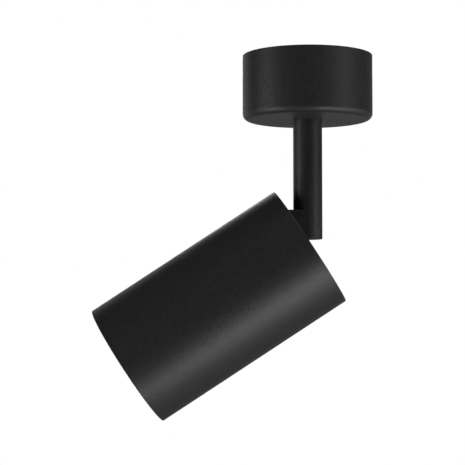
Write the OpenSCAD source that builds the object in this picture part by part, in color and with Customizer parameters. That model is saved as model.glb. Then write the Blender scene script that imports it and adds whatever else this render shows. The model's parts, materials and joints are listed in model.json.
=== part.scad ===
/* [Canopy] */
// Diameter of the canopy against the ceiling
canopy_d = 60; // [58:1:80]
// Height of the canopy
canopy_h = 30; // [28:1:45]
// Wall of the canopy
canopy_wall = 1.5; // [1.2:0.1:2]
// Radius of the rounded lower edge of the canopy
canopy_edge_r = 2.9; // [2.2:0.1:4]

/* [Ceiling plate] */
// Thickness of the plate that is screwed to the ceiling
plate_t = 1.5; // [1.2:0.1:2]
// Distance between the centres of the two screw slots
slot_spacing = 34; // [30:1:36]
// Width of the screw slots
slot_w = 4.5; // [4.2:0.1:5]
// Length of the screw slots, end to end
slot_l = 12; // [8:1:14]
// Diameter of the hole for the supply cable
cable_hole_d = 12; // [8:1:14]

/* [Arm] */
// Diameter of the round stem, and thickness of the tongue
stem_d = 13.4; // [12.6:0.1:14]
// Drop from the ceiling to the underside of the arm
arm_drop = 85; // [75:1:150]
// Height of the tongue that reaches into the barrel
tongue_h = 13.1; // [12.6:0.1:14]
// Distance from the stem's axis to the tilt axis
pivot_reach = 19.3; // [18.5:0.1:20]
// Bore of the stem for the lead
stem_bore_d = 7; // [6.6:0.1:7.4]

/* [Barrel] */
// Outside diameter of the barrel
barrel_d = 60; // [60:1:75]
// Length of the barrel
barrel_l = 100; // [97:1:140]
// Wall of the barrel
barrel_wall = 2; // [1.2:0.1:2.1]
// Angle of the barrel's axis below horizontal
tilt = 33.2; // [15:0.1:60]

/* [Lamp] */
// Diameter of the lamp
lamp_d = 50; // [46:1:51]
// Length of the lamp without its pins
lamp_l = 46; // [44:1:48]

/* [Hidden] */
$fn = 72;
// Overrun of every cut past the face it leaves
cut = 1;

// Canopy and ceiling plate
canopy_r = canopy_d / 2;
canopy_in_r = canopy_r - canopy_wall;
floor_z = -canopy_h + canopy_wall;
plate_gap = 1;
plate_r = canopy_in_r - plate_gap;
ear_w = 8;
ear_drop = 12;
ear_inset = 0.4;
ear_x = sqrt(pow(plate_r, 2) - pow(ear_w / 2, 2)) - ear_inset;
grub_d = 4;
grub_z = -8;
grub_clearance = 0.2;
grub_flush = 0.3;
grub_key_d = 2.2;
grub_key_depth = 2;

// Terminal block, hung under the plate
pole_count = 3;
pole_pitch = 9;
block_l = pole_count * pole_pitch;
block_w = 16;
block_h = 9;
block_edge_gap = 1;
block_y = sqrt(pow(plate_r, 2) - pow(block_l / 2, 2)) - block_w / 2 - block_edge_gap;
block_top = -plate_t;
block_bottom = block_top - block_h;
block_front = block_y - block_w / 2;
tower_d = 5.8;
tower_h = 3;
insert_d = 5;
insert_bore_d = 3.2;
insert_l = 14;
insert_z = block_top - block_h / 2;
clamp_d = 3;
clamp_offset = 4;
clamp_clearance = 0.1;
clamp_inset = 0.8;
clamp_slot_w = 0.6;
clamp_slot_depth = 0.7;
clamp_grip = 0.05;
fixing_d = 2.5;
fixing_clearance = 0.1;
fixing_head_d = 4.6;
fixing_head_h = 1.8;

// Earth screw on the ceiling plate
earth_at_share = 0.6;
earth_y = -plate_r * earth_at_share;
earth_d = 4;
earth_head_d = 7.5;
earth_head_h = 2.4;
earth_washer_d = 8;
earth_washer_t = 0.8;
earth_lug_d = 8;
earth_lug_t = 0.8;
earth_lug_w = 4;
earth_crimp_d = 4.8;
earth_crimp_l = 5;
earth_crimp_wall = 0.35;
lug_clearance = 0.15;
ceiling_clearance = 0.2;
crimp_y = earth_y + earth_lug_d / 2 + earth_crimp_l;
earth_lug_top = -plate_t - earth_washer_t;
crimp_z = earth_lug_top - earth_crimp_d / 2;

// Pan joint between canopy and stem
stem_r = stem_d / 2;
nipple_d = 10;
nipple_r = nipple_d / 2;
nipple_bore_d = 7.5;
nipple_in_stem = 10;
nipple_stand = 10;
nipple_top = -canopy_h + nipple_stand;
running_clearance = 0.05;
bushing_wall = 0.75;
bushing_r = nipple_r + running_clearance + bushing_wall;
bushing_flange_r = 9;
bushing_flange_t = 1;
wave_t = 0.8;
wave_r = 8;
stop_t = 1.5;
stop_r = 8.5;
nut_t = 4;
nut_af = 14;
bushing_top = floor_z + bushing_flange_t;
stop_bottom = bushing_top + wave_t;
nut_bottom = stop_bottom + stop_t;
peg_r = 1.25;
peg_at = 11.6;
peg_tip = 0.5;
peg_h = bushing_flange_t + wave_t + stop_t + peg_tip;
tab_w = 2.5;
tab_reach = 13;
key_w = 1.6;
key_depth = 0.9;
key_clearance = 0.05;

// Tilt joint between arm and barrel
tongue_r = tongue_h / 2;
pivot_z = -arm_drop + tongue_r;
pivot_offset = pivot_reach;
rim_gap = 1.1;
pivot_depth = pivot_reach - stem_r - rim_gap;
pivot_thread_d = 4;
pivot_thread_l = 5;
shoulder_d = 5;
pivot_head_d = 8;
pivot_head_h = 2.2;
pivot_play = 0.1;
pivot_key_d = 2.9;
pivot_key_depth = 1.4;
friction_washer_t = 0.5;
friction_washer_d = 11;
friction_washer_clearance = 0.1;
lug_t = 1.5;
lug_r = 6;
lug_in_y = stem_r + friction_washer_t;
lug_out_y = lug_in_y + lug_t;

// Leads
wire_r = 0.9;
lead_r = 2.4;
lead_bend_r = 5;
channel_gap = 0.85;
channel_r = lead_r + channel_gap;
bore_floor = 3.5;
exit_share = 0.667;
exit_x = -pivot_reach * exit_share;
lead_stand = 2;
lead_top = nipple_top + lead_stand;
lead_sides = 10;
wire_sides = 8;
wire_gap = 0.15;
crimp_wire_x = wire_r + wire_gap;
wire_spread = 1.2;
wire_row = 0.7;
earth_row = -1.35;
wire_straight = 4;
pole_wire_ease = 6.8;
wire_rise_share = 0.78;
bond_bow = 2.5;
bond_drop = 2.8;

// Barrel, measured in depth from its open back
barrel_r = barrel_d / 2;
barrel_in_r = barrel_r - barrel_wall;
barrel_edge_r = 0.4;
sweep_gap = 0.95;
carrier_t = 1.5;
carrier_gap = 0.3;
carrier_z = pivot_depth + tongue_r + sweep_gap;
rib_z = carrier_z + carrier_t;
rib_t = 4;
rib_depth = 7;
rib_in_r = barrel_in_r - rib_depth;
carrier_screw_d = 3;
carrier_screw_clearance = 0.1;
carrier_screw_l = 5;
carrier_screw_inset = 3.5;
carrier_screw_at = barrel_in_r - carrier_screw_inset;
carrier_head_d = 5.5;
carrier_head_h = 1.6;
carrier_screw_angles = [60, 180, 300];

// Lampholder and its bracket, in front of the carrier
bracket_w = 12;
bracket_t = 1;
bracket_rise = 3;
holder_w = 17.5;
holder_l = 27;
holder_h = 17;
bracket_rib_gap = 1;
bracket_in_y = holder_l / 2;
bracket_out_y = rib_in_r - bracket_rib_gap;
bracket_screw_inset = 2.7;
bracket_screw_y = bracket_out_y - bracket_screw_inset;
bracket_screw_d = 3;
bracket_head_d = 5.2;
bracket_head_h = 2;
bracket_lug_d = 5.4;
bracket_lug_t = 0.8;
bracket_lug_w = 3;
bracket_crimp_d = 3;
bracket_crimp_l = 3.5;
bracket_crimp_wall = 0.4;
holder_z = rib_z + bracket_rise;
holder_front = holder_z + holder_h;
holder_screw_inset = 3;
holder_screw_y = holder_l / 2 - holder_screw_inset;
holder_screw_d = 3;
holder_screw_clearance = 0.1;
holder_head_d = 5.4;
holder_head_h = 2.2;
holder_head_clearance = 0.2;
holder_bore_depth = 6;
lead_side_gap = 2.35;
lead_end_x = holder_w / 2 + lead_r + lead_side_gap;
slot_half_w = 3.5;
lead_slot_l = 12;
slot_to = lead_end_x + slot_half_w;
slot_from = slot_to - lead_slot_l;
driver_w = 0.8;
driver_share = 0.75;
driver_depth = 0.9;

// Twist socket and pins
pin_at = 5;
twist = 15;
neck_r = 1.6;
pin_head_r = 2.5;
pin_play = 0.3;
entry_play = 0.4;
slot_waist_share = 0.96;
front_wall = 2.5;
pin_l = 6.5;
pin_neck_l = 2.7;
pin_root = 3;
socket_depth = 8;
contact_r = 2.2;
contact_t = 1.2;

// Lamp, measured in depth from its rear face
lamp_gap = 0.3;
lamp_z = holder_front + lamp_gap;
lamp_r = lamp_d / 2;
lamp_base_r = 12;
lamp_base_l = 7;
lamp_rim_h = 6;
lamp_rim_wall = 1.5;
lamp_wall = 2.5;
lamp_shoulder_r = 15;
lamp_shoulder_z = 11;
lamp_floor = 20;
lamp_cone_drop = 4;
lamp_cone_in = 1;
lens_t = 2.2;
lens_gap = 0.1;
lens_recess = 0.3;
board_t = 1.6;
board_gap = 0.5;
board_r = lamp_base_r - board_gap;
chip_count = 3;
chip_w = 3.5;
chip_h = 0.8;
chip_at = 5;

// Baffle ring at the front of the barrel
ring_recess = 0.5;
ring_gap = 0.8;
ring_front = barrel_l - ring_recess;
ring_rear = lamp_z + lamp_l + ring_gap;
ring_slack = 0.8;
ring_r = barrel_in_r - ring_slack;
ring_lip_gap = 0.2;
ring_lip_r = barrel_in_r - ring_lip_gap;
ring_lip_t = 1.2;
ring_flange_t = 1.2;
ring_lap = 2.5;
ring_aperture_r = lamp_r - ring_lap;
ring_mouth_wall = 1.4;
ring_mouth_r = ring_lip_r - ring_mouth_wall;
ring_step = 0.5;
ring_seat_t = 1.5;
ring_seat_room = 1.5;
ring_seat_r = lamp_r + ring_seat_room;
leaf_t = 0.3;
leaf_angle = 10;
leaf_count = 3;
leaf_margin = 0.7;
leaf_gap = 0.1;
leaf_crown_share = 0.2;
leaf_foot_share = 0.2;

// Points and directions
function unit(v) = v / norm(v);
function bezier_point(p, t) =
    pow(1 - t, 3) * p[0] + 3 * pow(1 - t, 2) * t * p[1]
    + 3 * (1 - t) * pow(t, 2) * p[2] + pow(t, 3) * p[3];
function bezier_way(p, t) =
    3 * pow(1 - t, 2) * (p[1] - p[0]) + 6 * (1 - t) * t * (p[2] - p[1]) + 3 * pow(t, 2) * (p[3] - p[2]);
// A route is a list of [point, direction] pairs
function bezier_route(p, steps) =
    [for (i = [0:steps]) [bezier_point(p, i / steps), unit(bezier_way(p, i / steps))]];
function arc_route(centre, r, from, to, steps) =
    let (turn = to > from ? 1 : -1)
    [for (i = [0:steps]) let (a = from + (to - from) * i / steps)
        [centre + r * [cos(a), 0, sin(a)], turn * [-sin(a), 0, cos(a)]]];
function ring_points(at, r, side, sides) =
    let (n = unit(cross(at[1], side)), b = cross(at[1], n))
    [for (k = [0:sides - 1]) at[0] + r * (cos(360 * k / sides) * n + sin(360 * k / sides) * b)];

// Tube of one radius along a route, with closed ends
module tube_along(route, r, side, sides) {
    rings = len(route);
    points = [for (at = route) each ring_points(at, r, side, sides)];
    walls = [for (i = [0:rings - 2], k = [0:sides - 1])
        let (a = i * sides + k, b = i * sides + (k + 1) % sides)
        each [[a, b, b + sides], [a, b + sides, a + sides]]];
    ends = [[for (k = [sides - 1:-1:0]) k], [for (k = [0:sides - 1]) (rings - 1) * sides + k]];
    polyhedron(points = points, faces = concat(walls, ends));
}

// Flat ring standing on z = 0
module washer(outer_r, inner_r, t) {
    difference() {
        cylinder(r = outer_r, h = t);
        translate([0, 0, -cut]) cylinder(r = inner_r, h = t + 2 * cut);
    }
}

// Screw with its head on z = 0 and above, its shank below, and a cross recess in the head
module cross_screw(d, l, head_d, head_h) {
    difference() {
        union() {
            translate([0, 0, -l]) cylinder(d = d, h = l);
            cylinder(d = head_d, h = head_h);
        }
        for (a = [0, 90]) rotate([0, 0, a])
            translate([-head_d * driver_share / 2, -driver_w / 2, head_h - driver_depth])
                cube([head_d * driver_share, driver_w, driver_depth + cut]);
    }
}

// Wall section between two radii and two depths, with rounded corners
module rounded_section(r1, r2, z1, z2, e) {
    translate([r1 + e, z1]) square([r2 - r1 - 2 * e, z2 - z1]);
    translate([r1, z1 + e]) square([r2 - r1, z2 - z1 - 2 * e]);
    for (r = [r1 + e, r2 - e], z = [z1 + e, z2 - e]) translate([r, z]) circle(r = e);
}

// Half section of the canopy's outside, or of its inside when inset by the wall
module canopy_section(inset, top) {
    e = canopy_edge_r - inset;
    r = canopy_r - inset;
    low = -canopy_h + inset;
    translate([0, low]) square([r - e, top - low]);
    translate([0, low + e]) square([r, top - low - e]);
    translate([r - e, low + e]) circle(r = e);
}

module canopy_shell() {
    color("#2b2b2d") difference() {
        union() {
            rotate_extrude() difference() {
                canopy_section(0, 0);
                canopy_section(canopy_wall, cut);
            }
            translate([0, peg_at, floor_z - canopy_wall / 2])
                cylinder(r = peg_r, h = peg_h + canopy_wall / 2);
        }
        translate([0, 0, -canopy_h - cut]) cylinder(r = bushing_r, h = canopy_wall + 2 * cut);
        for (side = [-1, 1]) translate([side * (canopy_r + cut), 0, grub_z]) rotate([0, -90 * side, 0])
            cylinder(r = grub_d / 2 + grub_clearance, h = canopy_wall + 2 * cut);
    }
}

module ceiling_plate() {
    color("#c9ccd0") difference() {
        union() {
            translate([0, 0, -plate_t]) cylinder(r = plate_r, h = plate_t);
            for (side = [0, 1]) mirror([side, 0, 0])
                translate([ear_x - plate_t, -ear_w / 2, -ear_drop]) cube([plate_t, ear_w, ear_drop]);
        }
        translate([0, 0, -plate_t - cut]) cylinder(d = cable_hole_d, h = plate_t + 2 * cut);
        for (side = [-1, 1]) translate([side * slot_spacing / 2, 0, -plate_t - cut]) {
            for (end = [-1, 1]) translate([end * (slot_l - slot_w) / 2, 0, 0])
                cylinder(d = slot_w, h = plate_t + 2 * cut);
            translate([-(slot_l - slot_w) / 2, -slot_w / 2, 0])
                cube([slot_l - slot_w, slot_w, plate_t + 2 * cut]);
        }
        for (side = [-1, 1]) translate([side * (ear_x + cut), 0, grub_z]) rotate([0, -90 * side, 0])
            cylinder(d = grub_d, h = plate_t + 2 * cut);
        for (side = [-1, 1]) translate([side * pole_pitch / 2, block_y, -plate_t - cut])
            cylinder(d = fixing_d, h = plate_t + 2 * cut);
        translate([0, earth_y, -plate_t - cut]) cylinder(d = earth_d, h = plate_t + 2 * cut);
    }
}

module canopy_grub_screws() {
    outer = canopy_r - grub_flush;
    inner = ear_x - plate_t;
    color("#2b2b2d") for (side = [0, 1]) mirror([side, 0, 0])
        difference() {
            translate([inner, 0, grub_z]) rotate([0, 90, 0]) cylinder(d = grub_d, h = outer - inner);
            translate([outer - grub_key_depth, 0, grub_z]) rotate([0, 90, 0])
                cylinder(d = grub_key_d, h = grub_key_depth + cut, $fn = 6);
        }
}

// Places of the terminal block's poles along X
pole_xs = [for (i = [0:pole_count - 1]) (i - (pole_count - 1) / 2) * pole_pitch];

module terminal_body() {
    color("#eceae4") difference() {
        union() {
            translate([-block_l / 2, block_front, block_bottom]) cube([block_l, block_w, block_h]);
            for (x = pole_xs, side = [-1, 1])
                translate([x, block_y + side * clamp_offset, block_bottom - tower_h])
                    cylinder(d = tower_d, h = tower_h + block_h / 2);
        }
        for (x = pole_xs) {
            translate([x, block_front - cut, insert_z]) rotate([-90, 0, 0])
                cylinder(d = insert_d, h = block_w + 2 * cut);
            for (side = [-1, 1])
                translate([x, block_y + side * clamp_offset, block_bottom - tower_h - cut])
                    cylinder(d = clamp_d + 2 * clamp_clearance, h = tower_h + block_h / 2 + cut);
        }
        for (side = [-1, 1]) translate([side * pole_pitch / 2, block_y, block_bottom - cut])
            cylinder(d = fixing_d + 2 * fixing_clearance, h = block_h + 2 * cut);
    }
}

module terminal_inserts() {
    color("#c9a14a") for (x = pole_xs) difference() {
        translate([x, block_y - insert_l / 2, insert_z]) rotate([-90, 0, 0])
            cylinder(d = insert_d, h = insert_l);
        translate([x, block_y - insert_l / 2 - cut, insert_z]) rotate([-90, 0, 0])
            cylinder(d = insert_bore_d, h = insert_l + 2 * cut);
        for (side = [-1, 1])
            translate([x, block_y + side * clamp_offset, insert_z - insert_d])
                cylinder(d = clamp_d, h = insert_d);
    }
}

module terminal_clamp_screws() {
    low = block_bottom - tower_h + clamp_inset;
    high = insert_z - wire_r - clamp_grip;
    color("#c9ccd0") for (x = pole_xs, side = [-1, 1])
        translate([x, block_y + side * clamp_offset, low]) difference() {
            cylinder(d = clamp_d, h = high - low);
            translate([-clamp_d, -clamp_slot_w / 2, -cut])
                cube([2 * clamp_d, clamp_slot_w, clamp_slot_depth + cut]);
        }
}

module terminal_fixing_screws() {
    color("#c9ccd0") for (side = [-1, 1])
        translate([side * pole_pitch / 2, block_y, block_bottom]) rotate([180, 0, 0])
            cross_screw(fixing_d, block_h + plate_t - ceiling_clearance, fixing_head_d, fixing_head_h);
}

module earth_screw() {
    stack = earth_washer_t + earth_lug_t;
    color("#c9a14a") translate([0, earth_y, -plate_t - stack]) rotate([180, 0, 0])
        cross_screw(earth_d, stack + plate_t - ceiling_clearance, earth_head_d, earth_head_h);
}

module earth_washer() {
    color("#c9ccd0") translate([0, earth_y, -plate_t - earth_washer_t])
        washer(earth_washer_d / 2, earth_d / 2 + lug_clearance, earth_washer_t);
}

// Ring lug lying in z below 0, its crimp barrel along +Y
module ring_lug(outer_d, hole_d, t, strap_w, crimp_d, crimp_l, bore_d) {
    difference() {
        union() {
            translate([0, 0, -t]) cylinder(d = outer_d, h = t);
            translate([-strap_w / 2, 0, -t]) cube([strap_w, outer_d / 2 + t, t]);
            translate([0, outer_d / 2, -crimp_d / 2]) rotate([-90, 0, 0]) cylinder(d = crimp_d, h = crimp_l);
        }
        translate([0, 0, -t - cut]) cylinder(d = hole_d, h = t + 2 * cut);
        translate([0, outer_d / 2 + t, -crimp_d / 2]) rotate([-90, 0, 0])
            cylinder(d = bore_d, h = crimp_l + cut);
    }
}

module earth_ring_terminal() {
    color("#d8c27a") translate([0, earth_y, earth_lug_top])
        ring_lug(earth_lug_d, earth_d + 2 * lug_clearance, earth_lug_t, earth_lug_w,
            earth_crimp_d, earth_crimp_l, earth_crimp_d - 2 * earth_crimp_wall);
}

// Wire from a pole of the terminal block to a place in the top of the stem
module pole_wire(x, end_x, end_y) {
    start = [x, block_front + wire_straight, insert_z];
    leave = [x, block_front, insert_z];
    enter = [end_x, end_y, lead_top + wire_straight];
    rise = (insert_z - enter[2]) * wire_rise_share;
    route = concat(
        [[start, [0, -1, 0]]],
        bezier_route([leave, leave - [0, pole_wire_ease, 0], enter + [0, 0, rise], enter], 14),
        [[[end_x, end_y, lead_top], [0, 0, -1]]]);
    tube_along(route, wire_r, [1, 0.3, 0], wire_sides);
}

module live_wire() {
    color("#6b4226") pole_wire(pole_xs[0], -wire_spread, wire_row);
}

module neutral_wire() {
    color("#2f6fb5") pole_wire(pole_xs[pole_count - 1], wire_spread, wire_row);
}

module earth_wire() {
    leave = [crimp_wire_x, crimp_y, crimp_z];
    enter = [0, earth_row, lead_top + wire_straight];
    reach = earth_row - crimp_y;
    rise = (crimp_z - enter[2]) * wire_rise_share;
    color("#7a9c3a") tube_along(concat(
        [[leave - [0, earth_crimp_l / 2, 0], [0, 1, 0]]],
        bezier_route([leave, leave + [0, reach, 0], enter + [0, 0, rise], enter], 12),
        [[[0, earth_row, lead_top], [0, 0, -1]]]), wire_r, [1, 0, 0], wire_sides);
}

// Short bond from the middle pole to the ring terminal, bowed past the wires that go down the stem
module earth_bond_wire() {
    leave = [0, block_front, insert_z];
    middle = [-bond_bow, (block_front + crimp_y) / 2, block_top - bond_drop];
    enter = [-crimp_wire_x, crimp_y, crimp_z];
    ease = [0, (block_front - crimp_y) / 6, 0];
    color("#7a9c3a") tube_along(concat(
        [[leave + [0, wire_straight, 0], [0, -1, 0]]],
        bezier_route([leave, leave - ease, middle + ease, middle], 8),
        [for (i = [1:8]) bezier_route([middle, middle - ease, enter + ease, enter], 8)[i]],
        [[enter - [0, earth_crimp_l / 2, 0], [0, -1, 0]]]), wire_r, [1, 0, 0], wire_sides);
}

module stem_bushing() {
    color("#e8e6e0") difference() {
        union() {
            translate([0, 0, -canopy_h]) cylinder(r = bushing_r, h = canopy_wall);
            translate([0, 0, floor_z]) cylinder(r = bushing_flange_r, h = bushing_flange_t);
        }
        translate([0, 0, -canopy_h - cut])
            cylinder(r = nipple_r + running_clearance, h = canopy_wall + bushing_flange_t + 2 * cut);
    }
}

module stem_arm() {
    bore_end = -arm_drop + bore_floor;
    color("#2b2b2d") difference() {
        union() {
            translate([0, 0, -arm_drop]) cylinder(r = stem_r, h = arm_drop - canopy_h);
            translate([-pivot_reach, -stem_r, -arm_drop]) cube([pivot_reach, stem_d, tongue_h]);
            translate([-pivot_reach, stem_r, pivot_z]) rotate([90, 0, 0])
                cylinder(r = tongue_r, h = stem_d);
        }
        translate([0, 0, -canopy_h - nipple_in_stem])
            cylinder(r = nipple_r, h = nipple_in_stem + cut);
        translate([0, 0, bore_end]) cylinder(d = stem_bore_d, h = -canopy_h - bore_end);
        translate([exit_x, 0, pivot_z]) rotate([0, 90, 0]) cylinder(r = channel_r, h = -exit_x);
        translate([exit_x, 0, -arm_drop - cut]) cylinder(r = channel_r, h = tongue_r + cut);
        translate([exit_x, 0, pivot_z]) sphere(r = channel_r);
        for (side = [-1, 1]) translate([-pivot_reach, side * (stem_r + cut), pivot_z])
            rotate([90 * side, 0, 0]) cylinder(d = pivot_thread_d, h = pivot_thread_l + cut);
    }
}

module stem_nipple() {
    low = -canopy_h - nipple_in_stem;
    color("#c9a14a") difference() {
        translate([0, 0, low]) cylinder(r = nipple_r, h = nipple_top - low);
        translate([0, 0, low - cut]) cylinder(d = nipple_bore_d, h = nipple_top - low + 2 * cut);
        translate([-key_w / 2, -nipple_r - cut, stop_bottom])
            cube([key_w, key_depth + cut, nipple_top - stop_bottom + cut]);
    }
}

module pan_wave_washer() {
    color("#c9ccd0") translate([0, 0, bushing_top]) washer(wave_r, nipple_r + running_clearance, wave_t);
}

// Washer whose tooth sits in the nipple's keyway and whose tab meets the canopy's peg
module pan_stop_washer() {
    tooth_w = key_w - 2 * key_clearance;
    color("#c9ccd0") translate([0, 0, stop_bottom]) {
        difference() {
            union() {
                cylinder(r = stop_r, h = stop_t);
                translate([-tab_w / 2, -tab_reach, 0]) cube([tab_w, tab_reach, stop_t]);
            }
            translate([0, 0, -cut]) difference() {
                cylinder(r = nipple_r + running_clearance, h = stop_t + 2 * cut);
                translate([-tooth_w / 2, -2 * nipple_r, -cut])
                    cube([tooth_w, nipple_r + key_depth - key_clearance, stop_t + 4 * cut]);
            }
        }
    }
}

module pan_nut() {
    color("#c9a14a") translate([0, 0, nut_bottom]) difference() {
        cylinder(d = nut_af / cos(30), h = nut_t, $fn = 6);
        translate([0, 0, -cut]) cylinder(r = nipple_r, h = nut_t + 2 * cut);
    }
}

// Sleeved lead down the stem, along the tongue and out of its underside
module stem_lead() {
    bend1 = [-lead_bend_r, 0, pivot_z + lead_bend_r];
    bend2 = [exit_x + lead_bend_r, 0, pivot_z - lead_bend_r];
    color("#3a3a3c") tube_along(concat(
        [[[0, 0, lead_top], [0, 0, -1]]],
        arc_route(bend1, lead_bend_r, 0, -90, 6),
        arc_route(bend2, lead_bend_r, 90, 180, 6),
        [[[exit_x, 0, -arm_drop], [0, 0, -1]]]), lead_r, [0, 1, 0], lead_sides);
}

module pivot_screws() {
    shoulder_end = lug_out_y + pivot_play;
    color("#8e9195") for (side = [0, 1]) mirror([0, side, 0])
        translate([-pivot_reach, 0, pivot_z]) rotate([-90, 0, 0]) difference() {
            union() {
                translate([0, 0, stem_r - pivot_thread_l])
                    cylinder(d = pivot_thread_d, h = pivot_thread_l);
                translate([0, 0, stem_r]) cylinder(d = shoulder_d, h = shoulder_end - stem_r);
                translate([0, 0, shoulder_end]) cylinder(d = pivot_head_d, h = pivot_head_h);
            }
            translate([0, 0, shoulder_end + pivot_head_h - pivot_key_depth])
                cylinder(d = pivot_key_d, h = pivot_key_depth + cut, $fn = 6);
        }
}

module friction_washers() {
    color("#b9bcc0") for (side = [0, 1]) mirror([0, side, 0])
        translate([-pivot_reach, stem_r, pivot_z]) rotate([-90, 0, 0])
            washer(friction_washer_d / 2, shoulder_d / 2 + friction_washer_clearance, friction_washer_t);
}

// Barrel's own frame: depth along +Z from the open back, +X towards the side that holds the pivot
module in_barrel() {
    translate([-pivot_reach, 0, pivot_z]) rotate([0, -90 - tilt, 0])
        translate([-pivot_offset, 0, -pivot_depth]) children();
}

module barrel_tube() {
    color("#2b2b2d") in_barrel() difference() {
        rotate_extrude() {
            rounded_section(barrel_in_r, barrel_r, 0, barrel_l, barrel_edge_r);
            translate([rib_in_r, rib_z]) square([barrel_r - barrel_edge_r - rib_in_r, rib_t]);
            translate([ring_seat_r, ring_rear - ring_seat_t])
                square([barrel_r - barrel_edge_r - ring_seat_r, ring_seat_t]);
        }
        for (a = carrier_screw_angles) rotate([0, 0, a]) translate([carrier_screw_at, 0, rib_z - cut])
            cylinder(d = carrier_screw_d, h = rib_t + 2 * cut);
    }
}

module carrier_plate() {
    color("#b9bcc0") in_barrel() difference() {
        union() {
            translate([0, 0, carrier_z]) cylinder(r = barrel_in_r - carrier_gap, h = carrier_t);
            for (side = [0, 1]) mirror([0, side, 0]) {
                translate([pivot_offset, lug_out_y, pivot_depth]) rotate([90, 0, 0])
                    cylinder(r = lug_r, h = lug_t);
                translate([pivot_offset - lug_r, lug_in_y, pivot_depth])
                    cube([2 * lug_r, lug_t, carrier_z - pivot_depth + carrier_t / 2]);
            }
        }
        translate([pivot_offset, lug_out_y + cut, pivot_depth]) rotate([90, 0, 0])
            cylinder(r = shoulder_d / 2 + running_clearance, h = 2 * (lug_out_y + cut));
        for (a = carrier_screw_angles) rotate([0, 0, a])
            translate([carrier_screw_at, 0, carrier_z - cut])
                cylinder(r = carrier_screw_d / 2 + carrier_screw_clearance, h = carrier_t + 2 * cut);
        for (side = [-1, 1]) translate([0, side * bracket_screw_y, carrier_z - cut])
            cylinder(d = bracket_screw_d, h = carrier_t + 2 * cut);
        for (x = [slot_from + slot_half_w, slot_to - slot_half_w])
            translate([x, 0, carrier_z - cut]) cylinder(r = slot_half_w, h = carrier_t + 2 * cut);
        translate([slot_from + slot_half_w, -slot_half_w, carrier_z - cut])
            cube([slot_to - slot_from - 2 * slot_half_w, 2 * slot_half_w, carrier_t + 2 * cut]);
    }
}

module carrier_screws() {
    color("#c9ccd0") in_barrel() for (a = carrier_screw_angles) rotate([0, 0, a])
        translate([carrier_screw_at, 0, carrier_z]) rotate([180, 0, 0])
            cross_screw(carrier_screw_d, carrier_screw_l, carrier_head_d, carrier_head_h);
}

// Hat-shaped strip with its feet on the carrier and the lampholder on its crown
module holder_bracket() {
    crown = 2 * (bracket_in_y + bracket_t);
    color("#b9bcc0") in_barrel() difference() {
        union() {
            translate([-bracket_w / 2, -crown / 2, holder_z - bracket_t])
                cube([bracket_w, crown, bracket_t]);
            for (side = [0, 1]) mirror([0, side, 0]) {
                translate([-bracket_w / 2, bracket_in_y, rib_z])
                    cube([bracket_w, bracket_t, bracket_rise]);
                translate([-bracket_w / 2, bracket_in_y, rib_z])
                    cube([bracket_w, bracket_out_y - bracket_in_y, bracket_t]);
            }
        }
        for (side = [-1, 1]) {
            translate([0, side * bracket_screw_y, rib_z - cut])
                cylinder(r = bracket_screw_d / 2 + carrier_screw_clearance, h = bracket_t + 2 * cut);
            translate([0, side * holder_screw_y, holder_z - bracket_t - cut])
                cylinder(d = holder_screw_d, h = bracket_t + 2 * cut);
        }
    }
}

// The screw on the +Y side also holds the earth lug
module bracket_screws() {
    color("#c9ccd0") in_barrel() for (side = [-1, 1]) {
        seat = bracket_t + (side > 0 ? bracket_lug_t : 0);
        translate([0, side * bracket_screw_y, rib_z + seat])
            cross_screw(bracket_screw_d, seat + carrier_t, bracket_head_d, bracket_head_h);
    }
}

module bracket_earth_terminal() {
    color("#d8c27a") in_barrel() translate([0, bracket_screw_y, rib_z + bracket_t])
        rotate([0, 0, -90]) mirror([0, 0, 1])
            ring_lug(bracket_lug_d, bracket_screw_d + 2 * lug_clearance, bracket_lug_t, bracket_lug_w,
                bracket_crimp_d, bracket_crimp_l, bracket_crimp_d - 2 * bracket_crimp_wall);
}

// Slot that a pin's neck or head needs from its entry round to its locked place
module pin_slot(r, low, high) {
    chord = 2 * pin_at * sin(twist / 2);
    for (turn = [0, 180]) rotate([0, 0, turn]) translate([0, 0, low]) {
        for (a = [0, -twist]) rotate([0, 0, a]) translate([pin_at, 0, 0]) cylinder(r = r, h = high - low);
        rotate([0, 0, -twist / 2]) translate([pin_at * cos(twist / 2) - r * slot_waist_share, -chord / 2, 0])
            cube([2 * r * slot_waist_share, chord, high - low]);
    }
}

module lampholder_body() {
    end_r = holder_w / 2;
    socket_floor = holder_front - socket_depth;
    color("#e4e0d6") in_barrel() difference() {
        union() {
            for (side = [-1, 1]) translate([0, side * (holder_l / 2 - end_r), holder_z])
                cylinder(r = end_r, h = holder_h);
            translate([-end_r, end_r - holder_l / 2, holder_z])
                cube([holder_w, holder_l - holder_w, holder_h]);
        }
        for (side = [-1, 1]) translate([0, side * holder_screw_y, holder_z - cut]) {
            cylinder(r = holder_screw_d / 2 + holder_screw_clearance, h = holder_h + 2 * cut);
            translate([0, 0, holder_h + cut - holder_bore_depth])
                cylinder(r = holder_head_d / 2 + holder_head_clearance, h = holder_bore_depth + cut);
        }
        pin_slot(pin_head_r + pin_play, socket_floor, holder_front - front_wall);
        pin_slot(neck_r + pin_play, holder_front - front_wall - cut, holder_front + cut);
        for (turn = [0, 180]) rotate([0, 0, turn - twist])
            translate([pin_at, 0, holder_front - front_wall - cut])
                cylinder(r = pin_head_r + entry_play, h = front_wall + 2 * cut);
    }
}

module lampholder_contacts() {
    color("#c9a14a") in_barrel() for (side = [-1, 1])
        translate([side * pin_at, 0, holder_front - socket_depth]) cylinder(r = contact_r, h = contact_t);
}

module lampholder_screws() {
    seat = holder_front - holder_bore_depth;
    color("#c9ccd0") in_barrel() for (side = [-1, 1]) translate([0, side * holder_screw_y, seat])
        cross_screw(holder_screw_d, seat - holder_z + bracket_t, holder_head_d, holder_head_h);
}

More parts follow.
